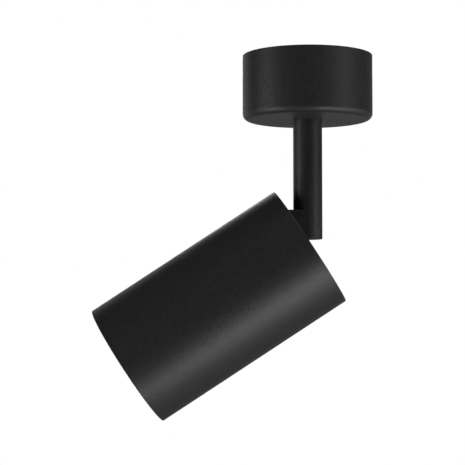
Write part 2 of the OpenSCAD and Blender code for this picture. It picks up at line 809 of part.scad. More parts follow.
// A point of the arm's frame, given from the tilt axis, in the barrel's own frame
function from_pivot(v) = [
    pivot_offset - v[0] * sin(tilt) + v[1] * cos(tilt),
    0,
    pivot_depth - v[0] * cos(tilt) - v[1] * sin(tilt)];
lead_end_share = 0.33;
lead_end = [lead_end_x, 0, holder_z + holder_h * lead_end_share];
// Lengths over which the leads leave and enter straight
lead_ease = 8.8;
holder_wire_ease = 4;
earth_lead_ease = 8;

// Flexible lead from the tongue's underside through the carrier's slot
module flex_lead() {
    start = from_pivot([pivot_reach + exit_x, -tongue_r]);
    down = from_pivot([pivot_reach + exit_x, -tongue_r - lead_ease]) - start;
    color("#3a3a3c") in_barrel() tube_along(
        bezier_route([start, start + down, lead_end - [0, 0, lead_ease], lead_end], 12),
        lead_r, [0, 1, 0], lead_sides);
}

// Wire from the end of the flexible lead into the lampholder's side
module holder_wire(side) {
    start = lead_end + [-wire_row, side * wire_spread, 0];
    end = [holder_w / 2, side * (holder_l - holder_w) / 2, lead_end[2] + holder_wire_ease];
    ease = holder_wire_ease;
    tube_along(bezier_route([start, start + [0, 0, ease], end + [ease, 0, 0], end], 10),
        wire_r, [0, 1, 0.2], wire_sides);
}

module live_lead() {
    color("#6b4226") in_barrel() holder_wire(-1);
}

module neutral_lead() {
    color("#2f6fb5") in_barrel() holder_wire(1);
}

module earth_lead() {
    start = lead_end - [earth_row, 0, 0];
    crimp_end = [bracket_lug_d / 2 + bracket_crimp_l, bracket_screw_y,
        rib_z + bracket_t + bracket_crimp_d / 2];
    color("#7a9c3a") in_barrel() tube_along(bezier_route([start, start + [0, 0, earth_lead_ease],
        crimp_end + [earth_lead_ease, 0, 0], crimp_end], 14), wire_r, [0, 1, 0], wire_sides);
}

module lamp_body() {
    rim_z = lamp_l - lamp_rim_h;
    seat_z = lamp_l - lens_t - lens_recess;
    color("#d9d9d6") in_barrel() translate([0, 0, lamp_z]) difference() {
        rotate_extrude() polygon([
            [0, 0], [lamp_base_r, 0], [lamp_base_r, lamp_base_l],
            [lamp_shoulder_r, lamp_shoulder_z],
            [lamp_r - lamp_cone_in, rim_z - lamp_cone_drop],
            [lamp_r, rim_z], [lamp_r, lamp_l],
            [lamp_r - lamp_rim_wall, lamp_l], [lamp_r - lamp_rim_wall, seat_z],
            [lamp_r - lamp_rim_wall - lamp_wall, seat_z],
            [lamp_base_r, lamp_floor], [0, lamp_floor]]);
        for (side = [-1, 1]) translate([side * pin_at, 0, -cut])
            cylinder(r = neck_r, h = pin_root + cut);
    }
}

module lamp_pins() {
    color("#c9ccd0") in_barrel() for (side = [-1, 1]) translate([side * pin_at, 0, lamp_z]) {
        translate([0, 0, -pin_neck_l - lamp_gap]) cylinder(r = neck_r, h = pin_root + pin_neck_l + lamp_gap);
        translate([0, 0, -pin_l]) cylinder(r = pin_head_r, h = pin_l - pin_neck_l - lamp_gap);
    }
}

module led_board() {
    color("#e9e9ea") in_barrel() translate([0, 0, lamp_z + lamp_floor]) cylinder(r = board_r, h = board_t);
}

module led_chips() {
    color("#f0d860") in_barrel() translate([0, 0, lamp_z + lamp_floor + board_t])
        for (i = [0:chip_count - 1]) rotate([0, 0, 360 * i / chip_count]) translate([chip_at, 0, chip_h / 2])
            cube([chip_w, chip_w, chip_h], center = true);
}

module lamp_lens() {
    color("#dfe6ea", 0.5) in_barrel() translate([0, 0, lamp_z + lamp_l - lens_t - lens_recess])
        cylinder(r = lamp_r - lamp_rim_wall - lens_gap, h = lens_t);
}

module baffle_ring() {
    color("#1e1e20") in_barrel() rotate_extrude() polygon([
        [ring_aperture_r, ring_rear], [ring_r, ring_rear],
        [ring_r, ring_front - ring_lip_t], [ring_lip_r, ring_front - ring_lip_t],
        [ring_lip_r, ring_front], [ring_mouth_r, ring_front],
        [ring_aperture_r + ring_step, ring_rear + ring_flange_t],
        [ring_aperture_r, ring_rear + ring_flange_t]]);
}

// Bowed leaf springs round the ring that press on the inside of the barrel
module ring_springs() {
    low = ring_rear + leaf_margin;
    l = ring_front - ring_lip_t - leaf_margin - low;
    crown = barrel_in_r - leaf_gap;
    color("#b9bcc0") in_barrel() for (i = [0:leaf_count - 1])
        rotate([0, 0, 360 * i / leaf_count - leaf_angle / 2]) rotate_extrude(angle = leaf_angle) polygon([
            [ring_r, low], [ring_r + leaf_t, low],
            [ring_r + leaf_t, low + l * leaf_foot_share],
            [crown, low + l * (1 - leaf_crown_share) / 2],
            [crown, low + l * (1 + leaf_crown_share) / 2],
            [ring_r + leaf_t, low + l], [ring_r, low + l],
            [crown - leaf_t, low + l * (1 + leaf_crown_share) / 2],
            [crown - leaf_t, low + l * (1 - leaf_crown_share) / 2],
            [ring_r, low + l * leaf_foot_share]]);
}

canopy_shell();
ceiling_plate();
canopy_grub_screws();
terminal_body();
terminal_inserts();
terminal_clamp_screws();
terminal_fixing_screws();
earth_screw();
earth_washer();
earth_ring_terminal();
live_wire();
neutral_wire();
earth_wire();
earth_bond_wire();
stem_bushing();
stem_arm();
stem_nipple();
pan_wave_washer();
pan_stop_washer();
pan_nut();
stem_lead();
pivot_screws();
friction_washers();
barrel_tube();
carrier_plate();
carrier_screws();
holder_bracket();
bracket_screws();
bracket_earth_terminal();
lampholder_body();
lampholder_contacts();
lampholder_screws();
flex_lead();
live_lead();
neutral_lead();
earth_lead();
lamp_body();
lamp_pins();
led_board();
led_chips();
lamp_lens();
baffle_ring();
ring_springs();
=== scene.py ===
import json
import math

import bmesh
import bpy
from mathutils import Matrix, Vector

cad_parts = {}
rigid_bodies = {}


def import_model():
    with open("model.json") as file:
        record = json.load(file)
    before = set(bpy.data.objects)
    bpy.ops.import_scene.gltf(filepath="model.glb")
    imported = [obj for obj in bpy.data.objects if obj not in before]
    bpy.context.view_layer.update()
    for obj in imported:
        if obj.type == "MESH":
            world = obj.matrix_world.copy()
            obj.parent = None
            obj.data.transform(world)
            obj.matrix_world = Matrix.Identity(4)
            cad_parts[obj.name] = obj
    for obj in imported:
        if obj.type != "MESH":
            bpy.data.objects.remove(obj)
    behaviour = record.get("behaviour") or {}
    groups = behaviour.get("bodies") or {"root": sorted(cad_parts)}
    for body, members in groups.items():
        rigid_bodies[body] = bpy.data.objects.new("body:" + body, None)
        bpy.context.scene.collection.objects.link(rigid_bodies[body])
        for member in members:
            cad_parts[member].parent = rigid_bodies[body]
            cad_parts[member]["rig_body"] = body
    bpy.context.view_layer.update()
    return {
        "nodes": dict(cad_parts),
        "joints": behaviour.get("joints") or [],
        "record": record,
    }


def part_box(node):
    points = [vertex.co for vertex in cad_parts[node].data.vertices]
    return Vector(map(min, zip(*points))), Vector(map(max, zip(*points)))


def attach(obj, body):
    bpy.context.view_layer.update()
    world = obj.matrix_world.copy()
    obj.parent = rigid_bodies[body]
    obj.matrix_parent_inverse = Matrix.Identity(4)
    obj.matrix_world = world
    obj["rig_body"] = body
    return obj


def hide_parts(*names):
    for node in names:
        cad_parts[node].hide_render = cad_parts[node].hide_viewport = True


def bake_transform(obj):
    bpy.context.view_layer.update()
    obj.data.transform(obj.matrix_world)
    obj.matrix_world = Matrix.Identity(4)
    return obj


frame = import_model()
print("frame loaded:", len(frame["nodes"]), "CAD nodes")

mm = 0.001
fullTurn = 2 * math.pi
bothSides = (-1, 1)
slotOf = {part["node"]: part["material_slot"] for part in frame["record"]["subparts"]}
joint = {each["name"]: each for each in frame["joints"]}
pivot = Vector(joint["tilt"]["pos_m"])
barrelAxis = Vector(joint["lamp_twist"]["axis"]).normalized()
tiltAxis = Vector((0, 1, 0))
panAxis = Vector((0, 0, 1))


# Measuring the frame

def spansOf(node, origin, axis):  # least and greatest depth along an axis, least and greatest reach from it
    offsets = [v.co - origin for v in frame["nodes"][node].data.vertices]
    depths = [offset.dot(axis) for offset in offsets]
    reaches = [(offset - axis * depth).length for offset, depth in zip(offsets, depths)]
    return min(depths), max(depths), min(reaches), max(reaches)


lampPoint = Vector(joint["lamp_twist"]["pos_m"])
barrelBack = lampPoint + barrelAxis * spansOf("barrel_tube", lampPoint, barrelAxis)[0]
barrelSide = tiltAxis.cross(barrelAxis)
barrelPlace = Matrix((barrelSide, tiltAxis, barrelAxis)).transposed().to_4x4()
barrelPlace.translation = barrelBack  # local Z runs from the open back to the mouth


def cornersOf(node):  # lowest and highest corner of a node, in millimetres
    return [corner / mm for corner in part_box(node)]


def barrelSpan(node):  # least and greatest depth and greatest reach in the barrel's frame, in millimetres
    spans = spansOf(node, barrelBack, barrelAxis)
    return spans[0] / mm, spans[1] / mm, spans[3] / mm


# Camera and light

view = {"place": (-0.00416, -0.78859, -0.13933), "turnRight": -0.0387, "lookUp": 0.0727,  # radians from +Y
        "lens": 133.0, "sensor": 36}
cameraData = bpy.data.cameras.new("photoCamera")
cameraData.lens = view["lens"]
cameraData.sensor_width = view["sensor"]
cameraData.clip_start = 0.05
camera = bpy.data.objects.new("photoCamera", cameraData)
camera.location = view["place"]
camera.rotation_euler = (math.pi / 2 + view["lookUp"], 0, -view["turnRight"])
bpy.context.scene.collection.objects.link(camera)
bpy.context.scene.camera = camera
bpy.context.scene.view_settings.view_transform = "Standard"

studio = {
    "aim": (-0.03, 0, -0.09),
    "floorHeight": -1.45,  # far enough below to stay out of every view's way
    "floorSize": 60,
    "floorFade": (2.5, 9),  # distances between which the camera sees it turn to plain white
    "floorBack": (1.5, 3.5),  # how far back the floor turns white to a gloss
    "floorWhite": 0.7,  # share of plain white that the camera sees in the floor near the light
    "floorGloss": 0.2,  # share of it that glass and gloss see in the floor behind
    "worldLevel": 0.02,
    "skyLevel": 0.05,
    "skyEdge": (0.5, 1.0),  # how steeply up a surface has to look to meet the pale light above
    "backdropEdge": (0.90, 1.0),  # how straight ahead a gloss has to look to meet the white backdrop
    "boxes": [  # name, degrees to the right of the camera, degrees up, distance, width, height, watts
        ("keyLow", 44, -43, 1.0, 0.34, 0.5, 4.15),
        ("keyRight", 76, -34, 1.0, 0.35, 0.45, 2.0),
        ("rightStrip", 66, 0, 1.0, 0.25, 0.6, 1.3),
        ("rightRim", 96, -20, 1.0, 0.2, 0.6, 1.4),
        ("leftBox", -74, -2, 1.0, 0.35, 0.5, 2.55),
        ("leftMid", -72, -36, 1.0, 0.3, 0.3, 3.2),
        ("frontFill", -38, -12, 1.2, 0.6, 1.0, 0.9),
        ("topFill", 50, 66, 1.0, 0.6, 0.6, 6.1),
        ("backLeft", -145, 8, 1.2, 0.7, 0.9, 1.1),
        ("backRight", 150, 8, 1.2, 0.7, 0.9, 0.3),
        ("backCentre", 180, 25, 1.2, 0.5, 0.7, 6.0),
    ],
}


def addSoftbox(name, azimuth, elevation, distance, width, height, watts):
    lightData = bpy.data.lights.new(name, "AREA")
    lightData.shape = "RECTANGLE"
    lightData.size = width
    lightData.size_y = height
    lightData.energy = watts
    light = bpy.data.objects.new(name, lightData)
    turn, lift = math.radians(azimuth), math.radians(elevation)
    towards = Vector((math.sin(turn) * math.cos(lift), -math.cos(turn) * math.cos(lift), math.sin(lift)))
    light.location = Vector(studio["aim"]) + towards * distance
    light.rotation_euler = towards.to_track_quat("Z", "Y").to_euler()
    light.visible_camera = False
    bpy.context.scene.collection.objects.link(light)


for softbox in studio["boxes"]:
    addSoftbox(*softbox)
print("camera and softboxes set")


# Node helpers: every input is a number or another node's output

def addNode(tree, kind, inputs=None, **settings):
    node = tree.nodes.new(kind)
    for key, value in settings.items():
        setattr(node, key, value)
    for key, value in (inputs or {}).items():
        if isinstance(value, bpy.types.NodeSocket):
            tree.links.new(value, node.inputs[key])
        else:
            node.inputs[key].default_value = value
    return node


def addMaths(tree, operation, a, b=0.0, clamp=False):
    return addNode(tree, "ShaderNodeMath", {0: a, 1: b}, operation=operation, use_clamp=clamp).outputs[0]


def addSum(tree, *pairs):  # each pair is multiplied first
    total, *rest = [addMaths(tree, "MULTIPLY", a, b) for a, b in pairs]
    for part in rest:
        total = addMaths(tree, "ADD", total, part)
    return total


def addRange(tree, value, start, end, shape="SMOOTHSTEP"):  # leads a value from one span over to another
    inputs = {"Value": value, "From Min": start[0], "From Max": start[1], "To Min": end[0], "To Max": end[1]}
    return addNode(tree, "ShaderNodeMapRange", inputs, interpolation_type=shape).outputs["Result"]


def addNoise(tree, vector, scale, detail, roughness=0.5):
    inputs = {"Vector": vector, "Scale": scale, "Detail": detail, "Roughness": roughness}
    return addNode(tree, "ShaderNodeTexNoise", inputs).outputs[0]


def addCells(tree, vector, scale, feature="F1", **more):  # distances from scattered points
    inputs = {"Vector": vector, "Scale": scale, **more}
    return addNode(tree, "ShaderNodeTexVoronoi", inputs, feature=feature).outputs["Distance"]


def addSplit(tree, vector):
    return addNode(tree, "ShaderNodeSeparateXYZ", {0: vector}).outputs


def lookedPast(tree, depth, edge):  # what a gloss or glass sees far enough back, and what the camera sees
    rays = addNode(tree, "ShaderNodeLightPath").outputs
    seen = addMaths(tree, "MAXIMUM", rays["Is Glossy Ray"], rays["Is Transmission Ray"])
    return addMaths(tree, "MULTIPLY", seen, addRange(tree, depth, edge, (0, 1))), rays["Is Camera Ray"]


def newGroup(name, **inputs):
    group = bpy.data.node_groups.new(name, "ShaderNodeTree")
    sockets = group.interface
    sockets.new_socket("Vector", in_out="INPUT", socket_type="NodeSocketVector")
    for key, default in inputs.items():
        socket = sockets.new_socket(key.replace("_", " "), in_out="INPUT", socket_type="NodeSocketFloat")
        socket.default_value = default
    return group, group.nodes.new("NodeGroupInput").outputs


def closeGroup(group, **outputs):
    for key in outputs:
        group.interface.new_socket(key, in_out="OUTPUT", socket_type="NodeSocketFloat")
    addNode(group, "NodeGroupOutput", outputs)
    return group


# World: white wherever the camera, a gloss or glass looks past the object to the backdrop

world = bpy.data.worlds.new("studioWorld")
bpy.context.scene.world = world
world.use_nodes = True
worldTree = world.node_tree
worldTree.nodes.clear()
direction = addSplit(worldTree, addNode(worldTree, "ShaderNodeTexCoord").outputs["Generated"])
seen, straight = lookedPast(worldTree, direction["Y"], studio["backdropEdge"])
above = addRange(worldTree, direction["Z"], studio["skyEdge"], (studio["worldLevel"], studio["skyLevel"]))
level = addMaths(worldTree, "MAXIMUM", addMaths(worldTree, "MAXIMUM", seen, straight), above)
backdrop = addNode(worldTree, "ShaderNodeBackground", {"Color": (1, 1, 1, 1), "Strength": level})
addNode(worldTree, "ShaderNodeOutputWorld", {0: backdrop.outputs[0]})


# Material helpers

def startMaterial(name, roughness, metallic=0.0, specular=0.5):
    material = bpy.data.materials.new(name)
    material.use_nodes = True
    shader = material.node_tree.nodes["Principled BSDF"]
    shader.inputs["Metallic"].default_value = metallic
    shader.inputs["Specular IOR Level"].default_value = specular
    shader.inputs["Roughness"].default_value = roughness
    return material, material.node_tree, shader


def addEffect(tree, group, chart=None, **values):  # chart is a UV map, for a pattern that follows a lead
    if chart:
        where = addNode(tree, "ShaderNodeUVMap", uv_map=chart).outputs[0]
    else:
        where = addNode(tree, "ShaderNodeTexCoord").outputs["Object"]
    effect = addNode(tree, "ShaderNodeGroup", node_tree=group)
    tree.links.new(where, effect.inputs["Vector"])
    for key, value in values.items():
        effect.inputs[key.replace("_", " ")].default_value = value
    return effect.outputs


def tintBy(tree, tone, shader, dark, light, low=0.35, high=0.65):  # a colour between two, by a tone
    ramp = addNode(tree, "ShaderNodeValToRGB", {"Fac": tone})
    for element, position, colour in zip(ramp.color_ramp.elements, (low, high), (dark, light)):
        element.position = position
        element.color = (*colour, 1)
    tree.links.new(ramp.outputs["Color"], shader.inputs["Base Color"])


def roughenBy(tree, tone, shader, low, high):
    tree.links.new(addRange(tree, tone, (0.3, 0.7), (low, high), "LINEAR"), shader.inputs["Roughness"])


def bumpBy(tree, height, shader, depth, edge=0.0):  # edge rounds the corners in the shading
    bump = addNode(tree, "ShaderNodeBump", {"Strength": 1.0, "Distance": depth, "Height": height})
    tree.links.new(bump.outputs["Normal"], shader.inputs["Normal"])
    if edge:
        soft = addNode(tree, "ShaderNodeBevel", {"Radius": edge}, samples=4)
        tree.links.new(soft.outputs["Normal"], bump.inputs["Normal"])


def pieceFrom(bm, name="shape"):
    mesh = bpy.data.meshes.new(name)
    bm.to_mesh(mesh)
    bm.free()
    piece = bpy.data.objects.new(name, mesh)
    bpy.context.scene.collection.objects.link(piece)
    return piece


def makeFloor():
    bm = bmesh.new()
    bmesh.ops.create_grid(bm, x_segments=1, y_segments=1, size=studio["floorSize"] / 2)
    bmesh.ops.translate(bm, verts=bm.verts, vec=(0, 0, studio["floorHeight"]))
    floor = pieceFrom(bm, "floor")
    material, tree, shader = startMaterial("paleFloor", 0.8)
    where = addNode(tree, "ShaderNodeTexCoord").outputs["Object"]
    tintBy(tree, addNoise(tree, where, 30, 3), shader, (0.86, 0.86, 0.86), (0.9, 0.9, 0.9), 0, 1)
    white = addNode(tree, "ShaderNodeEmission", {"Strength": 1.0})
    seen, straight = lookedPast(tree, addSplit(tree, where)["Y"], studio["floorBack"])
    reach = addNode(tree, "ShaderNodeVectorMath", {0: where}, operation="LENGTH")
    fade = addRange(tree, reach.outputs["Value"], studio["floorFade"], (studio["floorWhite"], 1.0))
    share = addMaths(tree, "MAXIMUM", addMaths(tree, "MULTIPLY", seen, studio["floorGloss"]),
                     addMaths(tree, "MULTIPLY", straight, fade))
    blend = addNode(tree, "ShaderNodeMixShader", {"Fac": share, 1: shader.outputs[0], 2: white.outputs[0]})
    tree.links.new(blend.outputs[0], tree.nodes["Material Output"].inputs["Surface"])
    floor.data.materials.append(material)


makeFloor()


# Surface effects that several materials share

def makeCoatGrain():  # sanded orange skin of a powder coat
    group, entry = newGroup("coatGrain", Grain_Size=0.25, Skin_Size=1.4)
    fine, coarse = (addMaths(group, "DIVIDE", 1 / mm, entry[size]) for size in ("Grain Size", "Skin Size"))
    grain = addNoise(group, entry["Vector"], fine, 3, 0.6)
    skin = addNoise(group, entry["Vector"], coarse, 1, 0.4)
    pores = addCells(group, entry["Vector"], fine, feature="SMOOTH_F1", Smoothness=0.6)
    return closeGroup(group, Height=addSum(group, (grain, 0.6), (pores, 0.3), (skin, 0.8)),
                      Tone=addSum(group, (grain, 0.5), (skin, 0.5)))


def makePlating():  # clouded plate with fine drawn lines
    group, entry = newGroup("plating", Cloud_Size=5, Line_Size=0.3)
    coarse, fine = (addMaths(group, "DIVIDE", 1 / mm, entry[size]) for size in ("Cloud Size", "Line Size"))
    stretch = addNode(group, "ShaderNodeMapping", {"Vector": entry["Vector"], "Scale": (0.08, 1, 1)})
    cloud = addNoise(group, entry["Vector"], coarse, 4, 0.55)
    lines = addNoise(group, stretch.outputs[0], fine, 2)
    return closeGroup(group, Height=lines, Tone=addSum(group, (cloud, 0.7), (lines, 0.3)))


def makeMouldSkin():  # spark-eroded mould texture, or fired clay with pits
    group, entry = newGroup("mouldSkin", Grain_Size=0.2, Pit_Share=0.2)
    scale = addMaths(group, "DIVIDE", 1 / mm, entry["Grain Size"])
    grain = addNoise(group, entry["Vector"], scale, 3)
    pits = addCells(group, entry["Vector"], addMaths(group, "MULTIPLY", scale, 0.4))
    near = addMaths(group, "SUBTRACT", entry["Pit Share"], pits, clamp=True)
    # Tone drops in the pits as well: painted shade in the recesses, over a random grain
    return closeGroup(group, Height=addMaths(group, "SUBTRACT", grain, addMaths(group, "MULTIPLY", near, 4)),
                      Tone=addMaths(group, "SUBTRACT", grain, near, clamp=True))


def makeBraid():  # strands crossing over and under round a sleeve; the chart gives turns and millimetres
    group, entry = newGroup("braid", Strands=12, Rise=0.6)
    yarnCount, yarnHeight = 4, 0.08
    chart = addSplit(group, entry["Vector"])
    around = addMaths(group, "MULTIPLY", chart["X"], entry["Strands"])
    along = addMaths(group, "MULTIPLY", chart["Y"], entry["Rise"])
    bands = [addMaths(group, way, around, along) for way in ("ADD", "SUBTRACT")]
    rounds, yarns = [], []
    for band in bands:
        off = addMaths(group, "SUBTRACT", addMaths(group, "MULTIPLY", addMaths(group, "FRACT", band), 2), 1)
        rounds.append(addMaths(group, "SUBTRACT", 1, addMaths(group, "MULTIPLY", off, off)))
        lines = addMaths(group, "SINE", addMaths(group, "MULTIPLY", band, fullTurn * yarnCount))
        yarns.append(addMaths(group, "MULTIPLY", lines, yarnHeight))
    cells = addMaths(group, "ADD", *(addMaths(group, "FLOOR", band) for band in bands))
    over = addMaths(group, "PINGPONG", cells, 1)
    shares = (over, addMaths(group, "SUBTRACT", 1, over))
    height, fine = (addSum(group, *zip(parts, shares)) for parts in (rounds, yarns))
    # Tone is the strands' height, so the sleeve's colour carries painted shade between the strands and a
    # painted highlight on their crowns
    return closeGroup(group, Height=addMaths(group, "ADD", height, fine), Tone=height)


def makeStripes():  # two colours lying side by side along a wire
    group, entry = newGroup("stripes", Turns_Per_Length=0.012)
    chart = addSplit(group, entry["Vector"])
    drift = addMaths(group, "MULTIPLY", chart["Y"], entry["Turns Per Length"])
    turns = addMaths(group, "ADD", addMaths(group, "ADD", chart["X"], drift), 8)  # stays above zero
    off = addMaths(group, "ABSOLUTE", addMaths(group, "SUBTRACT", addMaths(group, "FRACT", turns), 0.5))
    side = addMaths(group, "SUBTRACT", addMaths(group, "SUBTRACT", 0.5, off), 0.25)
    steep = addMaths(group, "MULTIPLY", side, 40)  # a crisp edge between the colours
    return closeGroup(group, Tone=addMaths(group, "ADD", steep, 0.5, clamp=True))


coatGrain = makeCoatGrain()
plating = makePlating()
mouldSkin = makeMouldSkin()
braid = makeBraid()
stripes = makeStripes()


# Materials, one for each finish of the record

finish = {}


def makeSurface(name, group, sizes, dark, light, roughness, depth, edge=0.0, **plain):
    material, tree, shader = startMaterial(name, sum(roughness) / 2, **plain)
    effect = addEffect(tree, group, **sizes)
    tintBy(tree, effect["Tone"], shader, dark, light)
    roughenBy(tree, effect["Tone"], shader, *roughness)
    bumpBy(tree, effect["Height"], shader, depth * mm, edge=edge * mm)
    return material


metals = {  # finish: name, size of clouds and lines, dark and light tone, roughness, depth of the lines
    "zinc_steel": ("zincPlate", 1.6, 0.12, (0.60, 0.62, 0.64), (0.70, 0.715, 0.73), (0.34, 0.44), 0.0015),
    "spring_steel": ("springSteel", 3, 0.1, (0.42, 0.43, 0.45), (0.52, 0.53, 0.55), (0.26, 0.34), 0.001),
    "brass": ("brass", 1.5, 0.12, (0.68, 0.50, 0.21), (0.80, 0.62, 0.29), (0.26, 0.36), 0.001),
}
moulded = {  # finish: name, size of the grain, share of pits, dark and light tone, roughness, depth
    "black_plastic": ("blackPlastic", 0.12, 0.0, (0.012, 0.012, 0.013), (0.02, 0.02, 0.021), (0.36, 0.46),
                      0.008),
    "white_plastic": ("whitePlastic", 0.2, 0.0, (0.74, 0.73, 0.70), (0.84, 0.83, 0.80), (0.38, 0.5), 0.006),
    "nylon": ("naturalNylon", 0.3, 0.0, (0.70, 0.68, 0.62), (0.8, 0.78, 0.72), (0.4, 0.52), 0.005),
    # the ceramic's pits are painted darker, as shade in its recesses
    "ceramic": ("firedCeramic", 0.25, 0.22, (0.66, 0.62, 0.55), (0.82, 0.79, 0.72), (0.6, 0.8), 0.03),
    "lamp_white": ("lampShellWhite", 0.3, 0.0, (0.74, 0.74, 0.72), (0.82, 0.82, 0.80), (0.26, 0.36), 0.004),
    "led_board": ("whiteSolderMask", 0.15, 0.0, (0.78, 0.78, 0.77), (0.86, 0.86, 0.85), (0.3, 0.4), 0.004),
    "phosphor": ("phosphor", 0.1, 0.0, (0.78, 0.56, 0.10), (0.9, 0.7, 0.18), (0.4, 0.5), 0.004),
    "brown_wire": ("brownSilicone", 0.25, 0.0, (0.16, 0.075, 0.035), (0.22, 0.11, 0.055), (0.42, 0.55),
                   0.005),
    "blue_wire": ("blueSilicone", 0.25, 0.0, (0.05, 0.16, 0.42), (0.08, 0.22, 0.52), (0.42, 0.55), 0.005),
}
paint = {"sizes": {"Grain_Size": 0.45, "Skin_Size": 1.8}, "dark": (0.012, 0.012, 0.0125),
         "light": (0.015, 0.015, 0.0155), "roughness": (0.42, 0.52), "depth": 0.055, "specular": 0.4}
lensSkin = {"sizes": {"Grain_Size": 0.6, "Pit_Share": 0.0}, "dark": (0.95, 0.965, 0.97), "light": (1, 1, 1),
            "roughness": (0.03, 0.07), "depth": 0.001}
# dark is painted shade between the braid's strands, light a painted highlight on their crowns; the yarn
# itself is black
sleeve = {"strands": 10, "rise": 0.62, "depth": 0.16, "dark": (0.012, 0.012, 0.013),
          "light": (0.055, 0.055, 0.058)}
finish["black_paint"] = makeSurface("blackPowderCoat", coatGrain, **paint)
for key, (name, clouds, lines, *rest) in metals.items():
    sizes = {"Cloud_Size": clouds, "Line_Size": lines}
    finish[key] = makeSurface(name, plating, sizes, *rest, edge=0.15, metallic=1.0)
for key, (name, grain, pits, *rest) in moulded.items():
    finish[key] = makeSurface(name, mouldSkin, {"Grain_Size": grain, "Pit_Share": pits}, *rest, edge=0.2)


def makeEarthWire():  # green and yellow, with the same silicone skin as the other wires
    material, tree, shader = startMaterial("earthSilicone", 0.48)
    skin = addEffect(tree, mouldSkin, Grain_Size=0.25, Pit_Share=0.0)
    sides = addEffect(tree, stripes, chart="alongLead", Turns_Per_Length=0.012)
    tintBy(tree, sides["Tone"], shader, (0.10, 0.30, 0.07), (0.80, 0.62, 0.05), 0.4, 0.6)
    roughenBy(tree, skin["Tone"], shader, 0.42, 0.55)
    bumpBy(tree, skin["Height"], shader, 0.005 * mm)
    return material


def makeSleeve():
    material, tree, shader = startMaterial("braidedSleeve", 0.6, specular=0.4)
    effect = addEffect(tree, braid, chart="alongLead", Strands=sleeve["strands"], Rise=sleeve["rise"])
    # colour by the braid's height: painted shade in the grooves, painted highlight on the crowns
    tintBy(tree, effect["Tone"], shader, sleeve["dark"], sleeve["light"], 0.1, 0.9)
    roughenBy(tree, effect["Tone"], shader, 0.7, 0.5)
    bumpBy(tree, effect["Height"], shader, sleeve["depth"] * mm)
    return material


def makeLensGlass():
    material = makeSurface("clearLens", mouldSkin, **lensSkin)
    shader = material.node_tree.nodes["Principled BSDF"]
    shader.inputs["Transmission Weight"].default_value = 1.0
    shader.inputs["IOR"].default_value = 1.49
    return material


finish["earth_wire"] = makeEarthWire()
finish["sleeve"] = makeSleeve()
finish["lens"] = makeLensGlass()

for name, node in frame["nodes"].items():
    node.data.materials.clear()
    node.data.materials.append(finish[slotOf[name]])
print("materials made:", len(finish))


# Making pieces, in millimetres until addPiece puts them in place

milli = Matrix.Scale(mm, 4)
barrelMilli = barrelPlace @ milli


def onCircle(radius, turn):
    return radius * math.cos(turn), radius * math.sin(turn)


def arc(centre, radius, start, end, steps):  # points of an arc in a half section, in degrees
    turns = [math.radians(start + (end - start) * i / steps) for i in range(steps + 1)]
    return [(centre[0] + radius * math.cos(turn), centre[1] + radius * math.sin(turn)) for turn in turns]


def discSection(radius, bottom, top, edge):  # half section of a plate with a rounded rim
    return ([(0, top)] + arc((radius - edge, top - edge), edge, 90, 0, 3)
            + arc((radius - edge, bottom + edge), edge, 0, -90, 3) + [(0, bottom)])


def threadSection(radius, start, end, pitch, depth=0.22):  # zigzag of a thread's crests and roots
    turns = max(1, round((end - start) / pitch))
    step = (end - start) / turns
    points = []
    for i in range(turns):
        points += [(radius, start + step * (i + 0.08)), (radius, start + step * (i + 0.28)),
                   (radius - depth, start + step * (i + 0.62)), (radius - depth, start + step * (i + 0.74))]
    return points


def spinSection(bm, section, steps):  # closed half section of (radius, height) points
    verts = [bm.verts.new((r, 0, z)) for r, z in section]
    edges = [bm.edges.new(pair) for pair in zip(verts, verts[1:] + verts[:1])]
    bmesh.ops.spin(bm, geom=verts + edges, axis=(0, 0, 1), cent=(0, 0, 0), angle=fullTurn, steps=steps,
                   use_merge=True)
    bmesh.ops.remove_doubles(bm, verts=bm.verts, dist=0.0005)
    bmesh.ops.dissolve_degenerate(bm, edges=bm.edges, dist=0.0005)
    bmesh.ops.delete(bm, geom=[edge for edge in bm.edges if not edge.link_faces], context="EDGES")
    bmesh.ops.recalc_face_normals(bm, faces=bm.faces)


def spun(section, steps=96, place=None):
    bm = bmesh.new()
    spinSection(bm, section, steps)
    if place is not None:
        bmesh.ops.transform(bm, matrix=place, verts=bm.verts)
    return pieceFrom(bm)


def soften(bm, edges, offset, segments=3):
    bmesh.ops.bevel(bm, geom=edges, offset=offset, segments=segments, profile=0.5, affect="EDGES",
                    material=-1)


def span(edge, axis):  # how far an edge runs along one axis
    return abs(edge.verts[0].co[axis] - edge.verts[1].co[axis])


def vertsIn(geometry):
    return [item for item in geometry if isinstance(item, bmesh.types.BMVert)]


def slab(outline, along):  # a flat outline pulled out to a closed solid
    bm = bmesh.new()
    face = bm.faces.new([bm.verts.new(point) for point in outline])
    grown = bmesh.ops.extrude_face_region(bm, geom=[face])["geom"]
    bmesh.ops.translate(bm, vec=along, verts=vertsIn(grown))
    bmesh.ops.recalc_face_normals(bm, faces=bm.faces)
    return bm


def block(low, high, rounding=0.0, place=None):  # box between two corners, its edges rounded
    bm = bmesh.new()
    low, high = Vector(low), Vector(high)
    bmesh.ops.create_cube(bm, size=1)
    bmesh.ops.scale(bm, vec=high - low, verts=bm.verts)
    bmesh.ops.translate(bm, vec=(low + high) / 2, verts=bm.verts)
    if rounding:
        soften(bm, bm.edges[:], rounding)
    if place is not None:
        bmesh.ops.transform(bm, matrix=place, verts=bm.verts)
    return pieceFrom(bm)


